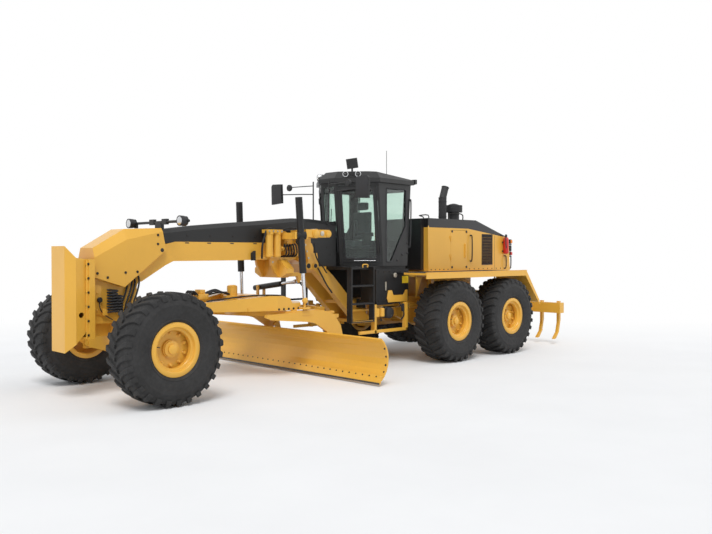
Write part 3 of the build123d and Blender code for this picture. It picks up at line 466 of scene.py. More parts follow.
def tyre(name, centre_x, hand, body, node):
    """A carcass and two rows of swept lugs with hooked, tapering shoulders."""

    def spot(radius, turn, y):
        return (centre_x + radius * math.sin(turn), hand * TRACK + y, WHEEL_Z + radius * math.cos(turn))

    piece = Piece()
    inner = [(r, -y) for r, y in SIDEWALL]
    outer = [(r, y) for r, y in reversed(SIDEWALL[:-1])]
    profile = BEAD + inner + outer + [(r, -y) for r, y in reversed(BEAD)]
    piece.skin([[spot(radius, turn, y) for turn in angles(108)] for radius, y in profile], looped=True)
    for number in range(LUGS):
        for outward in (1, -1):
            start = LUG_PITCH * (number + (0 if outward > 0 else 0.5))
            rings = []
            for part, top in LUG_STATIONS:
                swing = start - LUG_SWEEP * part**0.85 + LUG_HOOK * part * part
                half = 24 + 13 * part
                base = min(top - 12, TREAD_BASE - 300 * max(0, part - 0.85))
                section = [
                    (-half - 7, base), (-half, top - 5), (-half + 5, top),
                    (half - 5, top), (half, top - 5), (half + 7, base),
                ]
                y = outward * (6 + LUG_REACH * part)
                rings.append([spot(radius, swing + offset / 780, y) for offset, radius in section])
            piece.skin(rings)
    made = piece.make(name, body, tyre_rubber, "tyre_rubber", 32)
    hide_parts(node)


BOSSES = 10
BOSS_CIRCLE = 232
HUB = [(0, 112), (9, 116), (22, 114), (30, 92), (34, 74), (58, 70), (64, 60), (66, 0.5)]
BOSS = [(0, 27), (12, 27), (16, 24), (18, 19), (34, 19), (38, 15)]
# (radius, distance from the middle plane) round the two-step outer ring of the rim
LOCK_RING = [
    (264, 150), (268, 206), (274, 212), (300, 216), (305, 222), (312, 258), (322, 266),
    (345, 265), (372, 262), (380, 256), (384, 249), (309, 230), (300, 150),
]
VALVE_STEM = [(292, 226, 60), (282, 250, 58), (262, 262, 54)]
WHEELS = [(end + "_" + side, AXLES[end], hand) for end in AXLES for side, hand in HANDS]
for name, x, hand in WHEELS:
    body = "wheel_" + name
    tyre("tread_tyre_" + name, x, hand, body, "tyre_" + name)
    hub = Piece()
    hub.turned((x, hand * (TRACK + 122), WHEEL_Z), (x, hand * (TRACK + 222), WHEEL_Z), HUB, 40)
    for step in range(BOSSES):
        turn = 2 * math.pi * (step + 0.5) / BOSSES
        bx, bz = x + BOSS_CIRCLE * math.cos(turn), WHEEL_Z + BOSS_CIRCLE * math.sin(turn)
        hub.turned((bx, hand * (TRACK + 90), bz), (bx, hand * (TRACK + 130), bz), BOSS, 16)
    hub.make("hub_and_bosses_" + name, body, yellow, "yellow_paint")
    ring = Piece()
    rings = []
    for radius, y in LOCK_RING:
        cy = hand * (TRACK + y)
        rings.append([(x + radius * math.cos(t), cy, WHEEL_Z + radius * math.sin(t)) for t in angles(72)])
    ring.skin(rings, looped=True)
    ring.make("lock_ring_" + name, body, yellow, "yellow_paint")
    valve = Piece()
    valve.tube([(x + dx, hand * (TRACK + y), WHEEL_Z + dz) for dx, y, dz in VALVE_STEM], 7, 10)
    valve.make("valve_stem_" + name, body, bolt_dark, "bare_steel")


# Repeated bolts by geometry nodes
def bolt_tree():
    """Hexagon bolt heads with washers on every point, turned to face the stored direction."""
    tree = bpy.data.node_groups.new("bolt_heads", "GeometryNodeTree")
    face = tree.interface
    face.new_socket(name="Geometry", in_out="INPUT", socket_type="NodeSocketGeometry")
    for label, kind, value in (
        ("Head Radius", "NodeSocketFloat", 0.015),
        ("Head Height", "NodeSocketFloat", 0.012),
        ("Washer", "NodeSocketFloat", 1.35),
        ("Sides", "NodeSocketInt", 6),
        ("Seed", "NodeSocketInt", BOLT_SEED),
    ):
        face.new_socket(name=label, in_out="INPUT", socket_type=kind).default_value = value
    face.new_socket(name="Material", in_out="INPUT", socket_type="NodeSocketMaterial")
    face.new_socket(name="Geometry", in_out="OUTPUT", socket_type="NodeSocketGeometry")
    t = Tree(tree)
    given, sink = t.node("NodeGroupInput").outputs, t.node("NodeGroupOutput")
    radius, height = given["Head Radius"], given["Head Height"]
    head = t.join("GeometryNodeMeshCylinder", Vertices=given["Sides"], Radius=radius, Depth=height)
    wide, thin = t.math("MULTIPLY", radius, given["Washer"]), t.math("MULTIPLY", height, 0.3)
    washer = t.join("GeometryNodeMeshCylinder", Vertices=18, Radius=wide, Depth=thin)
    lift = t.join("ShaderNodeCombineXYZ", Z=t.math("MULTIPLY", height, 0.5))
    raised = t.join("GeometryNodeTransform", Geometry=head.outputs["Mesh"], Translation=lift.outputs[0])
    both = t.node("GeometryNodeJoinGeometry")
    t.put(raised.outputs["Geometry"], both.inputs[0])
    t.put(washer.outputs["Mesh"], both.inputs[0])
    facing = t.fill(t.node("GeometryNodeInputNamedAttribute", data_type="FLOAT_VECTOR"), Name="facing")
    align = t.node("FunctionNodeAlignRotationToVector", axis="Z")
    t.fill(align, Vector=facing.outputs["Attribute"])
    chance = t.fill(t.node("FunctionNodeRandomValue", data_type="FLOAT"), Seed=given["Seed"])
    t.put(0, chance.inputs[2])
    t.put(6.28, chance.inputs[3])
    spin = t.join("FunctionNodeAxisAngleToRotation", Axis=(0, 0, 1), Angle=chance.outputs[1])
    turn = t.node("FunctionNodeRotateRotation", rotation_space="LOCAL")
    t.fill(turn, Rotation=align.outputs[0], Rotate_By=spin.outputs[0])
    points = t.join("GeometryNodeMeshToPoints", Mesh=given["Geometry"])
    placing = t.node("GeometryNodeInstanceOnPoints")
    t.fill(placing, Points=points.outputs[0], Instance=both.outputs[0], Rotation=turn.outputs[0])
    real = t.join("GeometryNodeRealizeInstances", Geometry=placing.outputs[0])
    coated = t.join("GeometryNodeSetMaterial", Geometry=real.outputs[0], Material=given["Material"])
    t.put(coated.outputs[0], sink.inputs[0])
    return tree


BOLTS = bolt_tree()


def bolts(name, body, material, spots, radius, height, washer=1.35):
    """spots is a list of ((x, y, z), (facing direction)), in millimetres."""
    data = bpy.data.meshes.new(name + "_points")
    data.from_pydata([metres(*p) for p, d in spots], [], [])
    facing = data.attributes.new("facing", "FLOAT_VECTOR", "POINT")
    facing.data.foreach_set("vector", [v for p, d in spots for v in d])
    holder = placed(name + "_holder", data)
    modifier = holder.modifiers.new("bolts", "NODES")
    modifier.node_group = BOLTS
    values = {
        "Head Radius": radius / 1000,
        "Head Height": height / 1000,
        "Washer": washer,
        "Sides": 6,
        "Seed": BOLT_SEED,
        "Material": material,
    }
    for item in BOLTS.interface.items_tree:
        if item.in_out == "INPUT" and item.name in values:
            modifier[item.identifier] = values[item.name]
    bpy.context.view_layer.update()
    plain = evaluated_copy(holder)
    bpy.data.objects.remove(holder)
    plain.name = name
    return ridden(name, plain, body)


AHEAD, LEFT, UP = (1, 0, 0), (0, 1, 0), (0, 0, 1)


def row(start, end, count, facing):
    a, b = Vector(start), Vector(end)
    return [(tuple(a.lerp(b, i / (count - 1))), facing) for i in range(count)]


def mirrored(spots):
    return spots + [((p[0], -p[1], p[2]), (d[0], -d[1], d[2])) for p, d in spots]


# Push block flange, nose cover and gooseneck cover bolts
FLANGE_X = 8041
inner_row = row((FLANGE_X, 308, 1000), (FLANGE_X, 308, 1960), 6, AHEAD)
outer_row = row((FLANGE_X, 360, 960), (FLANGE_X, 360, 1990), 6, AHEAD)
bolts("flange_bolts", "front", bolt_dark, mirrored(inner_row + outer_row), 15, 16)
bar = Piece()
bar.box(8040.5, 8066, 322, 346, 915, 2045, 3).mirrored()
bar.make("flange_bars", "front", yellow, "yellow_paint")


def nose_side(x):
    """The nose cover's half width, which tapers ahead of X 7400."""
    return 288 - max(0, x - 7400) * 0.045


NOSE_BOLTS = [(6865, 2430), (6866, 2290), (7702, 1786), (7418, 1855), (7221, 1863), (7860, 1850)]
nose_spots = [((x, nose_side(x), z), LEFT) for x, z in NOSE_BOLTS]
bolts("nose_cover_bolts", "front", bolt_dark, mirrored(nose_spots), 15, 10)
COVER_BOLTS = [(6264, 2432), (5817, 2432), (5359, 2432), (4889, 2432), (3167, 2250), (3080, 2120)]
cover_spots = [((x, FRAME_SIDE + 1, z), LEFT) for x, z in COVER_BOLTS]
bolts("gooseneck_cover_bolts", "front", bolt_dark, mirrored(cover_spots), 13, 9)
slots = Piece()
for x in (6270, 5845, 5380, 4889):
    slots.box(x - 38, x + 38, FRAME_SIDE - 2, FRAME_SIDE + 2.5, 2304, 2322, 2)
slots.mirrored().make("gooseneck_slots", "front", cast_black, "black_paint")

# Moldboard bolts along the cutting edge
EDGE_BOLTS = 31
edge_end = BLADE_HALF - 108
edge = []
for number in range(EDGE_BOLTS):
    y = -edge_end + 2 * edge_end * number / (EDGE_BOLTS - 1)
    edge.append(((4088, y, 150), (0.925, 0, 0.381)))
bolts("cutting_edge_bolts", "moldboard", bolt_dark, edge, 12, 8, 1.15)

# Light bar lamps
BAR_LENS = [(0, 66), (6, 66), (10, 58), (13, 30), (14, 0.5)]
BAR_SHELL = [(0, 30), (16, 58), (60, 76), (120, 80), (144, 80), (144, 70), (132, 68)]
BAR_Z = 2640
lens, shell = Piece(), Piece()
for y in (780, -780):
    lens.turned((6786, y, BAR_Z), (6800, y, BAR_Z), BAR_LENS, 28)
    shell.turned((6650, y, BAR_Z), (6794, y, BAR_Z), BAR_SHELL, 28)
lens.make("light_bar_lenses", "front", silver, "bare_steel")
shell.make("light_bar_shells", "front", plastic, "dark_plastic")

# Cab: panes, gaskets, lamps, mirrors, handles and seat
CAB_LOW = 1900
CAB_RISE = 1600
DOOR_REAR, DOOR_FRONT, LEAN = Vector((2310, 840, 1900)), Vector((2840, 200, 1900)), Vector((135, 5, 1600))
DOOR_BACK = (DOOR_REAR - DOOR_FRONT).normalized()
DOOR_OUT = DOOR_BACK.cross(LEAN).normalized()
DOOR_PANE = [
    (110, 2100), (122, 2056), (170, 2040), (680, 2040), (718, 2056), (730, 2100),
    (730, 3310), (718, 3350), (680, 3365), (150, 3365), (118, 3350), (110, 3310),
]
DOOR_FRAME = [(50, 1972), (780, 1972), (780, 3428), (50, 3428)]
SIDE_PANE = [
    (1625, 3400), (1600, 3375), (1600, 2690), (2050, 1995), (2080, 1980),
    (2195, 1980), (2215, 2000), (2215, 3375), (2190, 3400),
]


def door_spot(along, z, out, hand):
    """A point on a slanting cab door, in millimetres."""
    spot = DOOR_REAR - DOOR_BACK * along + LEAN * ((z - CAB_LOW) / CAB_RISE) + DOOR_OUT * out
    return (spot.x, hand * spot.y, spot.z)


def wall_spot(x, z, out):
    """A point on the cab's left side wall behind the door."""
    part = (z - CAB_LOW) / CAB_RISE
    return (x, 840 + 5 * part - (2310 + 135 * part - x) * 0.06 + out, z)


def door_points(hand, *spots):
    return [door_spot(along, z, out, hand) for along, z, out in spots]


for side, hand in HANDS:
    body = "cab_door_" + side
    data = NODES[body].data
    data.materials.append(cab_glass)
    rear = Vector((DOOR_REAR.x, DOOR_REAR.y * hand, DOOR_REAR.z))
    out = Vector((DOOR_OUT.x, hand * DOOR_OUT.y, DOOR_OUT.z))
    for face in data.polygons:
        middle = Vector((face.center.x * 1000 + SHIFT, face.center.y * 1000, face.center.z * 1000))
        if abs(face.normal.dot(out)) > 0.9 and -30 < (middle - rear).dot(out) < -10:
            face.material_index = 1
    door = Piece()
    door.frame([door_spot(a, z, -4, hand) for a, z in DOOR_PANE], 15)
    door.frame([door_spot(a, z, 0, hand) for a, z in DOOR_FRAME], 9)
    door.make("door_gasket_" + side, body, plastic, "dark_plastic")
    grip = Piece()
    grip.tube(door_points(hand, (78, 2140, 4), (78, 2165, 42), (78, 2390, 42), (78, 2415, 4)), 11, 10, 4)
    grip.tube(door_points(hand, (640, 3290, 12), (420, 3268, 16), (190, 3262, 12)), 7, 8, 3)
    grip.tube(door_points(hand, (600, 3120, 10), (420, 3268, 20)), 6, 8, 2)
    grip.make("door_grip_and_wiper_" + side, body, bolt_dark, "dark_plastic")
    strip = Piece()
    strip.tube(door_points(hand, (140, 2003, 6), (560, 2003, 6)), 11, 10, 1)
    strip.make("door_light_strip_" + side, body, silver, "bare_steel")

shell = Piece()
shell.frame([wall_spot(x, z, -3) for x, z in SIDE_PANE], 15)
for x, z in ((1560, 2350), (1560, 2150), (1720, 2120), (1880, 2010)):
    shell.turned(wall_spot(x, z, -2), wall_spot(x, z, 16), [(0, 24), (10, 24), (16, 18), (18, 10)], 16)
shell.tube([(1520, 770, 2300), (1500, 815, 2320), (1480, 820, 3150), (1480, 780, 3180)], 13, 10, 4)
shell.mirrored()
shell.frame([(2858, -160, 2160), (2858, 160, 2160), (2958, 160, 3412), (2958, -160, 3412)], 13)
shell.tube([(2905, 0, 2150), (2925, 20, 2500), (2945, 60, 3000)], 8, 8, 3)
shell.frame([(1500, -640, 2400), (1490, 640, 2400), (1440, 640, 3380), (1440, -640, 3380)], 13)
shell.make("cab_gaskets_and_rails", "front", plastic, "dark_plastic")

FRONT_SHELL = [(0, 18), (14, 40), (45, 54), (104, 57), (110, 54), (110, 47), (100, 46)]
FRONT_LENS = [(0, 46), (4, 46), (7, 36), (9, 12), (9.5, 0.5)]
REAR_SHELL = [(0, 20), (12, 42), (50, 50), (64, 51), (64, 44), (58, 43)]
REAR_LENS = [(0, 43), (4, 43), (8, 28), (9, 0.5)]
roof_lamps, roof_lenses = Piece(), Piece()
way = Vector((85, 64, 0)).normalized()
for x, y in ((2840, 355), (2690, 545)):
    middle = Vector((x, y, 3655))
    roof_lamps.turned(middle - way * 52, middle + way * 58, FRONT_SHELL, 24)
    roof_lenses.turned(middle + way * 48, middle + way * 58, FRONT_LENS, 24)
for y in (420, 760):
    roof_lamps.turned((1352, y, 3575), (1288, y, 3575), REAR_SHELL, 20)
    roof_lenses.turned((1296, y, 3575), (1286, y, 3575), REAR_LENS, 20)
roof_lamps.mirrored().make("roof_lamp_shells", "front", silver, "bare_steel")
roof_lenses.mirrored().make("roof_lamp_lenses", "front", lens_clear, "tinted_glass")

roof_trim = Piece()
roof_trim.tube([(1500, 690, 3592), (2200, 735, 3592), (2440, 800, 3588), (2900, 240, 3588)], 10, 8, 3)
roof_trim.box(1700, 2250, 120, 420, 3690, 3722, 8)
roof_trim.box(1560, 1900, 560, 640, 3585, 3602, 5)
roof_trim.mirrored().make("roof_ridge_and_covers", "front", plastic, "dark_plastic")

MIRROR_PLATE = [(1040, 3150), (1360, 3130), (1370, 3500), (1330, 3540), (1060, 3530)]
MIRROR_GLASS = [(1060, 3170), (1345, 3152), (1352, 3495), (1322, 3522), (1076, 3514)]
mirror_shell = Piece()
mirror_back = [(3282, y * 0.97 + 36, z * 0.97 + 100) for y, z in MIRROR_PLATE]
mirror_shell.prism([(3228, y, z) for y, z in MIRROR_PLATE], mirror_back, 10)
mirror_shell.turned((3225, 830, 3440), (3275, 830, 3440), [(0, 60), (20, 66), (40, 56), (50, 20)], 24)
mirror_shell.mirrored().make("mirror_shells", "front", plastic, "dark_plastic")
mirror = Piece()
mirror.prism([(3224, y, z) for y, z in MIRROR_GLASS], [(3228, y, z) for y, z in MIRROR_GLASS], 1)
mirror.turned((3226, 830, 3440), (3219, 830, 3440), [(0, 54), (4, 52), (7, 20)], 24)
mirror.mirrored().make("mirror_glasses", "front", mirror_face, "bare_steel")

inside = Piece()
inside.box(2560, 2700, -90, 90, 2400, 2470, 20)
inside.tube([(2640, 0, 2440), (2600, 0, 2560), (2560, 0, 2620)], 26, 12, 3)
KNOB = [(0, 22), (20, 34), (60, 36), (82, 26), (90, 8)]
for hand in (1, -1):
    inside.tube([(2480, hand * 305, 2560), (2500, hand * 305, 2630), (2510, hand * 300, 2720)], 20, 12, 3)
    inside.turned((2508, hand * 300, 2700), (2520, hand * 298, 2790), KNOB, 20)
    inside.box(2050, 2520, hand * 265, hand * 345, 2480, 2560, 22)
    inside.box(2120, 2300, hand * 262, hand * 348, 2300, 2490, 16)
inside.box(2520, 2580, -520, -330, 2620, 2780, 12)
inside.tube([(2560, -430, 2620), (2600, -440, 2400), (2620, -430, 1960)], 14, 10, 3)
inside.box(1660, 1850, -580, 580, 2180, 2260, 20)
inside.box(2060, 2420, -210, 210, 1945, 2230, 24)
inside.box(2500, 2800, -180, 180, 1945, 1975, 8)
inside.make("seat_base_pods_and_levers", "front", plastic, "dark_plastic")

PAD_INSET = 12
PAD_ROUND = 34
PAD_VOXEL = 0.011
PAD_PRESSURE = 4
PAD_SWELL = 0.018
SEAM_DEPTH = 0.007
SEAM_WIDTH = 0.008


def blow_up(made):
    """Remeshes a pad evenly and swells it by cloth pressure, as far as PAD_SWELL."""
    remesh = made.modifiers.new("even", "REMESH")
    remesh.mode, remesh.voxel_size, remesh.use_smooth_shade = "VOXEL", PAD_VOXEL, True
    bpy.context.view_layer.update()
    even = evaluated_copy(made)
    made.modifiers.clear()
    made.data = even
    rest = [v.co.copy() for v in even.vertices]
    cloth_sim = made.modifiers.new("cloth", "CLOTH")
    cloth_sim.settings.use_pressure = True
    cloth_sim.settings.uniform_pressure_force = PAD_PRESSURE
    cloth_sim.settings.effector_weights.gravity = 0
    cloth_sim.point_cache.frame_start, cloth_sim.point_cache.frame_end = 1, 20
    for number in range(1, 21):
        bpy.context.scene.frame_set(number)
    blown = evaluated_copy(made)
    made.modifiers.clear()
    made.data = blown
    bpy.context.scene.frame_set(1)
    for vert, start in zip(blown.vertices, rest):
        move = vert.co - start
        if move.length > PAD_SWELL:
            vert.co = start + move.normalized() * PAD_SWELL


def cushion(name, low, high, crown, seams):
    """A crowned pad with sewn channels at both sides of the middle; crown is its upper axis."""
    piece = Piece()
    x0, y0, z0 = [value + PAD_INSET for value in low]
    x1, y1, z1 = [value - PAD_INSET for value in high]
    piece.box(x0, x1, y0, y1, z0, z1, PAD_ROUND)
    made = piece.make(name, "front", seat_fabric, "seat_cloth", 60)
    blow_up(made)
    data = made.data
    for vert in data.vertices:
        for axis, place in seams:
            gap = abs(abs(vert.co[axis]) - place)
            if vert.normal[crown] > 0.3:
                vert.co[crown] -= SEAM_DEPTH * math.exp(-((gap / SEAM_WIDTH) ** 2))
    for face in data.polygons:
        face.use_smooth = True
    if not data.materials:
        data.materials.append(seat_fabric)
    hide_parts("operator_seat")


cushion("seat_cushion", (2000, -255, 2240), (2500, 255, 2400), 2, [(1, 0.15)])
cushion("seat_back", (1950, -245, 2385), (2085, 245, 3000), 0, [(1, 0.14)])
cushion("seat_headrest", (1955, -150, 3005), (2070, 150, 3180), 0, [])

# Hood: seams, latches, handles, mesh window, lamps, extinguisher and exhaust trim
GRILLE = (-1400, -1020, 1905, 2555)
hood_black, hood_grip = Piece(), Piece()
hood_black.box(-1503, -1497, HOOD_SIDE - 1, HOOD_SIDE + 1.5, 1785, 2560, 0.5)
for x, z in ((62, 2610), (62, 1850), (-440, 2610), (-440, 1850)):
    latch = [(0, 24), (10, 24), (14, 18), (15, 0.5)]
    hood_black.turned((x, HOOD_SIDE - 1, z), (x, HOOD_SIDE + 14, z), latch, 20)
for number in range(14):
    x = -1025 - 28 * number
    hood_black.box(x - 4, x + 4, HOOD_SIDE - 6, HOOD_SIDE + 3, GRILLE[2], GRILLE[3], 1)
for number in range(24):
    z = 1918 + 27 * number
    hood_black.box(GRILLE[0], GRILLE[1], HOOD_SIDE - 5, HOOD_SIDE + 1, z - 3.5, z + 3.5, 1)
for z in (1888, 2556):
    hood_black.box(-1412, -1008, HOOD_SIDE - 1, HOOD_SIDE + 6, z, z + 16, 2)
for x in (-1414, -1020):
    hood_black.box(x, x + 14, HOOD_SIDE - 1, HOOD_SIDE + 6, 1890, 2570, 2)
hood_grip.tube([(-575, 748, 1985), (-580, 800, 2010), (-580, 800, 2500), (-575, 748, 2525)], 13, 10, 4)
hood_grip.tube([(-1880, 748, 1800), (-1885, 800, 1825), (-1885, 800, 2060), (-1880, 748, 2085)], 12, 10, 4)
roof_rail = [(-560, 560, 2868), (-560, 560, 2980), (-420, 560, 3010), (-420, 300, 3010), (-420, 300, 2868)]
hood_grip.tube(roof_rail, 13, 10, 3)
hood_black.mirrored().make("hood_latches_and_mesh", "rear", plastic, "dark_plastic")
hood_grip.mirrored().make("hood_grips", "rear", bolt_dark, "black_paint")
edge_strip = Piece()
edge_strip.box(836, 862, HOOD_SIDE - 1, HOOD_SIDE + 4, 1782, 2712, 1).mirrored()
edge_strip.make("hood_edge_strip", "rear", yellow, "yellow_paint")
foot_bolts = row((760, HOOD_SIDE, 1805), (200, HOOD_SIDE, 1805), 5, LEFT)
foot_bolts += row((-560, HOOD_SIDE, 1805), (-1900, HOOD_SIDE, 1805), 9, LEFT)
bolts("hood_door_bolts", "rear", bolt_dark, mirrored(foot_bolts), 10, 8)

rear_lamps = Piece()
for z in (2060, 2330):
    rear_lamps.box(-2190, -2100, 590, 748, z, z + 30, 4)
rear_lamps.box(-2200, -2130, 600, 745, 2190, 2325, 14)
for z0, z1 in ((2365, 2470), (2095, 2185)):
    rear_lamps.box(-2200, -2140, 600, 745, z0, z1, 12)
rear_lamps.tube([(-2120, 700, 1790), (-2180, 730, 1810), (-2190, 730, 2060)], 14, 10, 3)
rear_lamps.mirrored().make("rear_lamp_frames", "rear", plastic, "dark_plastic")
for label, z0, z1, material in (("amber", 2378, 2458, lens_amber), ("red", 2104, 2176, lens_red)):
    lens = Piece()
    lens.box(-2212, -2152, 612, 762, z0, z1, 14).mirrored()
    lens.make("rear_lens_" + label, "rear", material, "black_paint")
lens = Piece()
lens.box(-2210, -2196, 620, 728, 2210, 2306, 10).mirrored()
lens.make("rear_work_lens", "rear", lens_clear, "tinted_glass")
BOTTLE = [(0, 30), (8, 56), (24, 62), (330, 62), (372, 46), (390, 20), (400, 18)]
bottle = Piece()
bottle.turned((-1860, 815, 2130), (-1860, 815, 2570), BOTTLE, 28)
bottle.make("fire_extinguisher", "rear", red, "black_paint")
head = Piece()
head.turned((-1860, 815, 2515), (-1860, 815, 2580), [(0, 26), (20, 30), (50, 26), (65, 14)], 20)
head.tube([(-1860, 815, 2560), (-1805, 850, 2550), (-1785, 862, 2410), (-1800, 862, 2260)], 11, 10, 5)
for z in (2180, 2380):
    head.box(-1930, -1790, 748, 765, z, z + 30, 3)
head.make("extinguisher_head_and_straps", "rear", plastic, "dark_plastic")

STACK_X = -560
CLEANER_X = -960
stack = Piece()
for z, r in ((2885, 108), (2960, 96), (3300, 96), (3385, 95)):
    band = [(0, r - 3), (3, r), (13, r), (16, r - 3)]
    stack.turned((STACK_X, 0, z), (STACK_X, 0, z + 16), band, 36)
for z in (3092, 3130, 3168, 3206):
    stack.turned((CLEANER_X, 0, z), (CLEANER_X, 0, z + 12), [(0, 196), (3, 205), (9, 205), (12, 196)], 40)
stack.turned((CLEANER_X, 0, 3238), (CLEANER_X, 0, 3282), [(0, 150), (14, 128), (34, 70), (44, 20)], 36)
stack.turned((-655, 0, 3622), (-664, 0, 3646), [(0, 84), (4, 88), (18, 88), (22, 80), (12, 72)], 30)
stack.box(-700, -420, -150, 150, 2866, 2886, 6)
stack.box(-1150, -780, -210, 210, 2846, 2870, 6)
stack.make("exhaust_rings_and_cap", "rear", cast_black, "black_paint")

fender = Piece()
fender.side([(1310, 1240), (1310, 1665), (1120, 1665)], 800, 812)
fender.side([(-1560, 1240), (-1560, 1500), (-1400, 1640), (-1440, 1240)], 800, 812)
fender.box(-1500, 1920, 1560, 1603, 1768, 1782, 4)
fender.mirrored().make("fender_gussets_and_rim", "rear", yellow, "yellow_paint")
grit = Piece()
for number in range(11):
    x = 1820 - 290 * number
    grit.box(x - 110, x + 110, 800, 1540, 1769, 1775, 2)
grit.mirrored().make("fender_grip_pads", "rear", plastic, "black_paint")

# Nose: hoses, gauge plate, foot and bolts
nose = Piece()
for middle, turns, radius in ((7620, 8, 78), (7520, 6, 60)):
    path = []
    for step in range(turns * 8 + 1):
        turn = math.pi * step / 4
        y = 262 + 0.7 * radius * math.sin(turn)
        path.append((middle + radius * math.cos(turn), y, 1270 + 42 * step / 8))
    nose.tube(path, 13, 8, 2)
for number in range(4):
    y = 192 + 14 * (number % 2)
    x = 7380 - 62 * number
    lift = [(x + 90, y, 1190), (x + 60, y + 14, 1380), (x, y + 22, 1560), (x - 40, y + 8, 1700)]
    nose.tube(lift + [(x - 30, y, 1800)], 14, 10, 5)
nose.turned((6790, 262, 2195), (6790, 296, 2195), [(0, 30), (22, 32), (30, 26), (34, 14)], 20)
nose.mirrored().make("nose_hoses_and_feet", "front", hose_rubber, "dark_plastic")
plate = Piece()
plate.side([(7770, 1230), (7900, 1250), (7900, 1690), (7770, 1660)], 182, 200, 3)
plate.side([(7690, 1225), (7770, 1225), (7770, 1330), (7690, 1300)], 182, 260, 4)
for z in (1300, 1560):
    plate.turned((7835, 198, z), (7835, 214, z), [(0, 18), (10, 18), (14, 12)], 12)
plate.mirrored().make("nose_side_plates", "front", yellow, "yellow_paint")
gauge = Piece()
gauge.turned((7800, 198, 1455), (7800, 232, 1455), [(0, 34), (6, 40), (28, 40), (34, 34), (34, 28)], 28)
gauge.tube([(7800, 205, 1420), (7800, 225, 1330), (7740, 230, 1240), (7600, 215, 1150)], 8, 8, 5)
gauge.tube([(7935, 184, 1120), (7935, 215, 1300), (7930, 200, 1800), (7880, 190, 1960)], 7, 8, 4)
gauge.mirrored().make("nose_gauges_and_pipes", "front", bolt_dark, "dark_plastic")

# Lift saddle: valves, hoses, trunnion bosses and filter trim
# (X, Z, length, height) of the valve blocks
VALVE_BLOCKS = [
    (4140, 2230, 110, 120), (4290, 2330, 90, 130), (4270, 2150, 120, 90), (4390, 2230, 70, 90),
    (4060, 2120, 80, 70),
]
valve = Piece()
for x, z, w, h in VALVE_BLOCKS:
    valve.box(x - w / 2, x + w / 2, 232, 330, z - h / 2, z + h / 2, 8)
    valve.pin((x, 325, z), (x, 362, z), 24, 16)
    valve.pin((x - w / 4, 240, z + h / 2), (x - w / 4, 240, z + h / 2 + 36), 16, 12)
for x, r in ((3810, 66), (4100, 84)):
    valve.turned((x, 908, 2490), (x, 926, 2490), [(0, r * 0.72), (10, r * 0.72), (16, r * 0.6)], 28)
for x in (4690, 4515):
    valve.turned((x, 330, 2095), (x, 330, 2120), [(0, 70), (4, 74), (20, 74), (25, 70)], 28)
    valve.turned((x, 330, 2470), (x, 330, 2502), [(0, 70), (5, 76), (26, 76), (32, 70)], 28)
valve.mirrored().make("saddle_valves_and_caps", "front", yellow, "yellow_paint")
SADDLE_HOSES = [
    [(4380, 260, 2560), (4200, 300, 2600), (4060, 420, 2590), (3900, 600, 2575), (3830, 760, 2580)],
    [(3730, 440, 2330), (3700, 430, 2150), (3620, 425, 2000), (3500, 415, 1900), (3380, 395, 1780)],
]
FILTER_HOSE = [
    (4790, 250, 2060), (4830, 300, 2140), (4840, 330, 2300), (4800, 340, 2440), (4740, 330, 2560),
    (4600, 300, 2575), (4430, 260, 2500),
]
lines = Piece()
for number in range(6):
    x = 4060 + 62 * number
    loop = [(x, 335, 2330 - 20 * number), (x + 20, 392, 2300), (x - 10, 398, 2190)]
    lines.tube(loop + [(x - 30, 350, 2110), (x - 20, 240, 2085)], 13, 10, 6)
lines.tube(FILTER_HOSE, 17, 12, 6)
for path in SADDLE_HOSES:
    lines.tube(path, 13, 10, 6)
for x, r in ((3870, 46), (3700, 40)):
    lines.turned((x, 438, 1915), (x, 452, 1915), [(0, r), (8, r), (12, r - 8)], 24)
lines.side([(4925, 2020), (4985, 2020), (4985, 2150), (4925, 2190)], 181, 250, 4)
lines.mirrored().make("saddle_hoses_and_pins", "front", hose_rubber, "dark_plastic")
saddle_bolts = row((4465, 400, 2530), (4745, 400, 2530), 4, LEFT)
saddle_bolts += row((4590, 235, 2280), (4540, 235, 1990), 4, LEFT)
saddle_bolts += row((4050, 235, 2130), (4060, 235, 2390), 4, LEFT)
saddle_bolts += row((3850, 415, 2060), (3925, 415, 2300), 3, LEFT)
bolts("saddle_bolts", "front", bolt_zinc, mirrored(saddle_bolts), 14, 11)

# Drawbar: circle-drive valve, hose loops, caps and bolts
DRIVE_X = 5250
BALL_CAP = [(0, 52), (30, 52), (42, 36), (47, 10)]
drive = Piece()
drive.box(5820, 6010, -110, 130, 1380, 1470, 14)
drive.box(5860, 5960, -80, 90, 1470, 1540, 12)
drive.turned((DRIVE_X, 0, 1556), (DRIVE_X, 0, 1600), [(0, 84), (10, 88), (26, 88), (40, 60), (44, 10)], 30)
drive.turned((DRIVE_X, 0, 1228), (DRIVE_X, 0, 1262), [(0, 190), (24, 190), (34, 176)], 40)
for hand in (1, -1):
    drive.turned((4372, hand * 900, 1330), (4372, hand * 948, 1330), BALL_CAP, 28)
drive.make("circle_drive_and_caps", "drawbar", yellow, "yellow_paint")
loops = Piece()
for number in range(4):
    y = 90 - 50 * number
    near = [(6000, y, 1450), (6100, y + 8, 1520), (6150, y + 14, 1470), (6120, y + 16, 1380)]
    loops.tube(near + [(6020, y + 10, 1350)], 13, 10, 6)
    far = [(5840, y, 1440), (5700, y * 0.9, 1500), (5560, y * 0.8, 1480 + 15 * number)]
    loops.tube(far + [(5420, y * 0.6, 1470), (5330, y * 0.4, 1440)], 13, 10, 6)
ARM_HOSES = [
    [(5930, 250, 1352), (5600, 400, 1395), (5250, 560, 1432), (4960, 690, 1436), (4800, 770, 1428)],
    [(5930, 220, 1352), (5600, 370, 1395), (5250, 530, 1432), (4960, 660, 1436), (4780, 750, 1428)],
]
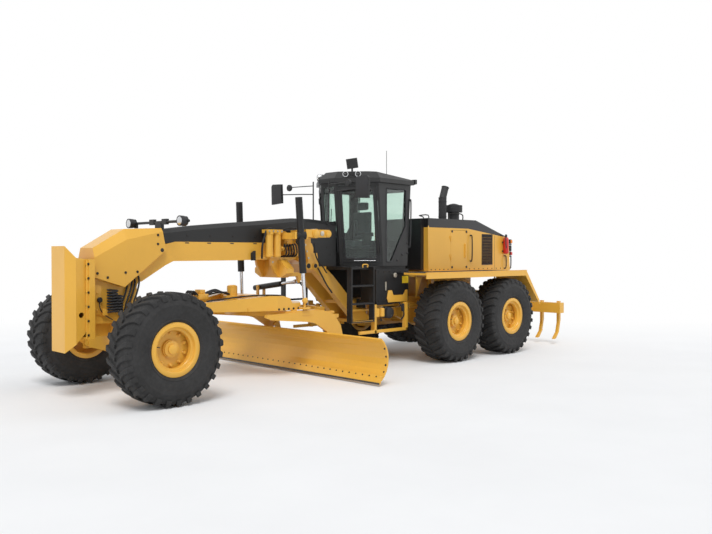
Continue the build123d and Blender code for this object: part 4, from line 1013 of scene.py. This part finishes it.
for hand in (1, -1):
    for path in ARM_HOSES:
        loops.tube([(x, hand * y, z) for x, y, z in path], 12, 10, 5)
loops.make("drawbar_hoses", "drawbar", hose_rubber, "dark_plastic")
drive_bolts = []
for turn in angles(12):
    drive_bolts.append(((DRIVE_X + 172 * math.cos(turn), 172 * math.sin(turn), 1262), UP))
pedestal_bolts = [((4306 + 132 * i, hand * 840, 1215), UP) for i in range(2) for hand in (1, -1)]
bolts("drawbar_bolts", "drawbar", bolt_zinc, drive_bolts + pedestal_bolts, 14, 12)
flange_row = row((4450, 825, 1198), (4880, 825, 1198), 5, LEFT)
bolts("drawbar_flange_bolts", "drawbar", bolt_dark, mirrored(flange_row), 15, 12)

# Circle teeth on the inner edge
TEETH = 64
CIRCLE_X = 4300
teeth = Piece()
for turn in angles(TEETH):
    c, s = math.cos(turn), math.sin(turn)
    corners = []
    for radial, across in ((822, -24), (822, 24), (796, 14), (796, -14)):
        corners.append((CIRCLE_X + radial * c - across * s, radial * s + across * c))
    teeth.prism([(x, y, 1082) for x, y in corners], [(x, y, 1152) for x, y in corners], 2)
teeth.make("circle_teeth", "circle", yellow, "yellow_paint")

# Moldboard: cutting edge lip and end bolts
LIP = [(4108, 36), (4140, 36), (4132, 62), (4102, 62)]
blade = Piece()
blade.prism([(x, -BLADE_HALF, z) for x, z in LIP], [(x, BLADE_HALF, z) for x, z in LIP], 1)
blade.make("cutting_edge_lip", "moldboard", edge_steel, "bare_steel")
ends = []
for hand in (1, -1):
    for z, x in ((220, 3990), (330, 3948), (470, 3936), (600, 3972)):
        ends.append(((x, hand * 2405, z), (1, 0, 0.2)))
bolts("moldboard_end_bolts", "moldboard", bolt_dark, ends, 14, 8)

# Platform, ladder and lower machinery below the cab
ACCUMULATOR = [(0, 96), (12, 112), (150, 112), (180, 100), (196, 60), (200, 1)]
STEP_HOSES = [
    ([(2250, 870, 1120), (2350, 900, 1080), (2420, 890, 960), (2380, 850, 850)], 13),
    ([(1900, 880, 1180), (1840, 920, 1060), (1780, 900, 940), (1800, 840, 840)], 13),
    ([(3560, 345, 1880), (3480, 380, 1720), (3360, 370, 1560), (3200, 350, 1400)], 14),
]
steps = Piece()
for hand in (1, -1):
    for z in (895, 1225, 1555):
        for number in range(6):
            x = 2765 + 95 * number
            steps.box(x, x + 60, hand * 890, hand * 992, z - 1, z + 6, 2)
    steps.turned((2150, hand * 700, 1000), (2150, hand * 900, 1000), ACCUMULATOR, 32)
    steps.box(1650, 1820, hand * (TANK_SIDE + 2), hand * 905, 1010, 1160, 10)
    for path, radius in STEP_HOSES:
        steps.tube([(x, hand * y, z) for x, y, z in path], radius, 10, 5)
steps.make("step_grips_and_hoses", "front", plastic, "dark_plastic")
TANK_BRACKET = [
    (1640, 1200), (2200, 1200), (2240, 1280), (2200, 1430), (2100, 1430), (2060, 1330), (1760, 1330),
    (1700, 1430), (1640, 1430),
]
FILTER = [(0, 40), (10, 52), (140, 52), (160, 44), (170, 20)]
low = Piece()
for hand in (1, -1):
    low.box(1710, 3060, hand * 900, hand * 945, 640, 700, 6)
    low.box(1710, 1770, hand * 845, hand * 945, 640, 1190, 6)
    low.box(2600, 2660, hand * 845, hand * 945, 640, 1180, 6)
    low.box(2760, 3290, hand * 990, hand * 999, 868, 900, 2)
    low.side(TANK_BRACKET, hand * (TANK_SIDE + 1), hand * (TANK_SIDE + 16), 3)
    for x in (2420, 2560):
        low.turned((x, hand * 905, 940), (x, hand * 905, 1110), FILTER, 24)
    low.box(2754, 3296, hand * 884, hand * 996, 864, 901, 4)
    handle = [(3020, 985, 1885), (3020, 990, 1935), (2900, 990, 1935), (2900, 985, 1885)]
    low.tube([(x, hand * y, z) for x, y, z in handle], 11, 10, 4)
low.make("lower_rail_filters_and_brackets", "front", yellow, "yellow_paint")
plain = Piece()
plain.box(1610, 1790, TANK_SIDE, TANK_SIDE + 5, 1560, 1700, 2).mirrored()
plain.make("plain_tank_plates", "front", plate_yellow, "yellow_paint")
slot_marks = Piece()
for number in range(5):
    x = 2800 + 100 * number
    slot_marks.box(x, x + 50, 905, 975, 899, 903, 1)
slot_marks.mirrored().make("bottom_step_slots", "front", cast_black, "black_paint")
tank_bolts = []
for z in (1790, 1240):
    tank_bolts += row((1680, TANK_SIDE + 1, z), (2460, TANK_SIDE + 1, z), 6, LEFT)
bolts("tank_bolts", "front", bolt_dark, mirrored(tank_bolts), 13, 10)
TRUNNION_BOSS = [(0, 40), (16, 44), (22, 34), (24, 1)]
FILLER_CAP = [(0, 40), (6, 46), (34, 46), (42, 36), (43, 1)]
cap = Piece()
for hand in (1, -1):
    cap.turned((3955, hand * 888, 2492), (3955, hand * 912, 2492), TRUNNION_BOSS, 28)
    cap.turned((2020, hand * (TANK_SIDE + 2), 1720), (2020, hand * 905, 1720), FILLER_CAP, 28)
    cap.box(2250, 2290, hand * (TANK_SIDE + 1), hand * (TANK_SIDE + 16), 1430, 1600, 6)
cap.make("tank_caps_and_sight_gauges", "front", bolt_zinc, "bare_steel")

# Ripper: tips and pins
SHANK_PITCH = 445
SHANK_TIP = [
    (-3190, 270), (-3176, 262), (-3038, 128), (-3052, 122), (-3126, 134), (-3270, 300), (-3240, 310)
]
tips, pins = Piece(), Piece()
for number in range(-3, 4):
    y = SHANK_PITCH * number
    tips.side(SHANK_TIP, y - 35, y + 35, 4)
    pins.pin((-3285, y - 68, 860), (-3285, y + 68, 860), 17, 14)
tips.make("ripper_tips", "ripper", yellow, "yellow_paint")
for hand in (1, -1):
    pins.pin((-3050, hand * 372, 1040), (-3050, hand * 528, 1040), 22, 16)
    pins.pin((-2990, hand * 372, 800), (-2990, hand * 528, 800), 26, 16)
pins.make("ripper_pins", "ripper", bolt_dark, "bare_steel")


# Floor, world and lamps
FLOOR_HALF = 60
LAMPS = [
    ("sun", (-0.45, -0.55, -1.0), 1.75, 25),
    ("fill", (-1.0, -0.15, -0.35), 0.55, 50),
    ("rim", (0.8, -0.5, -0.5), 0.4, 50),
]


def studio_floor():
    """A pale floor that keeps the shadow and fades to white behind and far round the machine."""
    corners = [(-1, -1), (1, -1), (1, 1), (-1, 1)]
    data = bpy.data.meshes.new("studio_floor")
    data.from_pydata([(x * FLOOR_HALF, y * FLOOR_HALF, 0) for x, y in corners], [], [(0, 1, 2, 3)])
    floor = placed("studio_floor", data)
    floor.location.z = -0.002
    t = Finish("studio_floor")
    tone = t.mix(t.span(t.noise(0.6, 4), 0.3, 0.7), rgb((0.83, 0.83, 0.83)), rgb((0.86, 0.86, 0.86)))
    t.fill(t.shader, Base_Color=tone, Roughness=0.9, Specular_IOR_Level=0.1)
    away = t.node("ShaderNodeVectorMath", operation="DOT_PRODUCT")
    t.put(t.object, away.inputs[0])
    away.inputs[1].default_value = (math.cos(yaw), math.sin(yaw), 0)
    length = t.node("ShaderNodeVectorMath", operation="LENGTH")
    t.put(t.object, length.inputs[0])
    behind = t.span(away.outputs["Value"], 1.0, 9.0)
    far = t.math("MAXIMUM", behind, t.span(length.outputs["Value"], 9.0, 26.0))
    white = t.join("ShaderNodeEmission", Color=(1, 1, 1, 1))
    shown = t.math("MULTIPLY", far, t.seen_by_eye())
    t.blend(shown, t.shader.outputs[0], white.outputs[0], "Material Output")
    data.materials.append(t.material)


def studio_world():
    world = bpy.data.worlds.new("studio")
    bpy.context.scene.world = world
    world.use_nodes = True
    t = Tree(world.node_tree)
    light = t.fill(t.tree.nodes["Background"], Color=(0.93, 0.96, 1.0, 1), Strength=0.55)
    plain = t.join("ShaderNodeBackground", Color=(1, 1, 1, 1))
    t.blend(t.seen_by_eye(), light.outputs[0], plain.outputs[0], "World Output")


def studio_lamps():
    for name, direction, strength, spread in LAMPS:
        lamp = placed(name, bpy.data.lights.new(name, "SUN"))
        lamp.data.energy = strength
        lamp.data.angle = math.radians(spread)
        lamp.rotation_euler = Vector(direction).to_track_quat("-Z", "Y").to_euler()


studio_floor()
studio_world()
studio_lamps()
bpy.context.scene.view_settings.view_transform = "Standard"
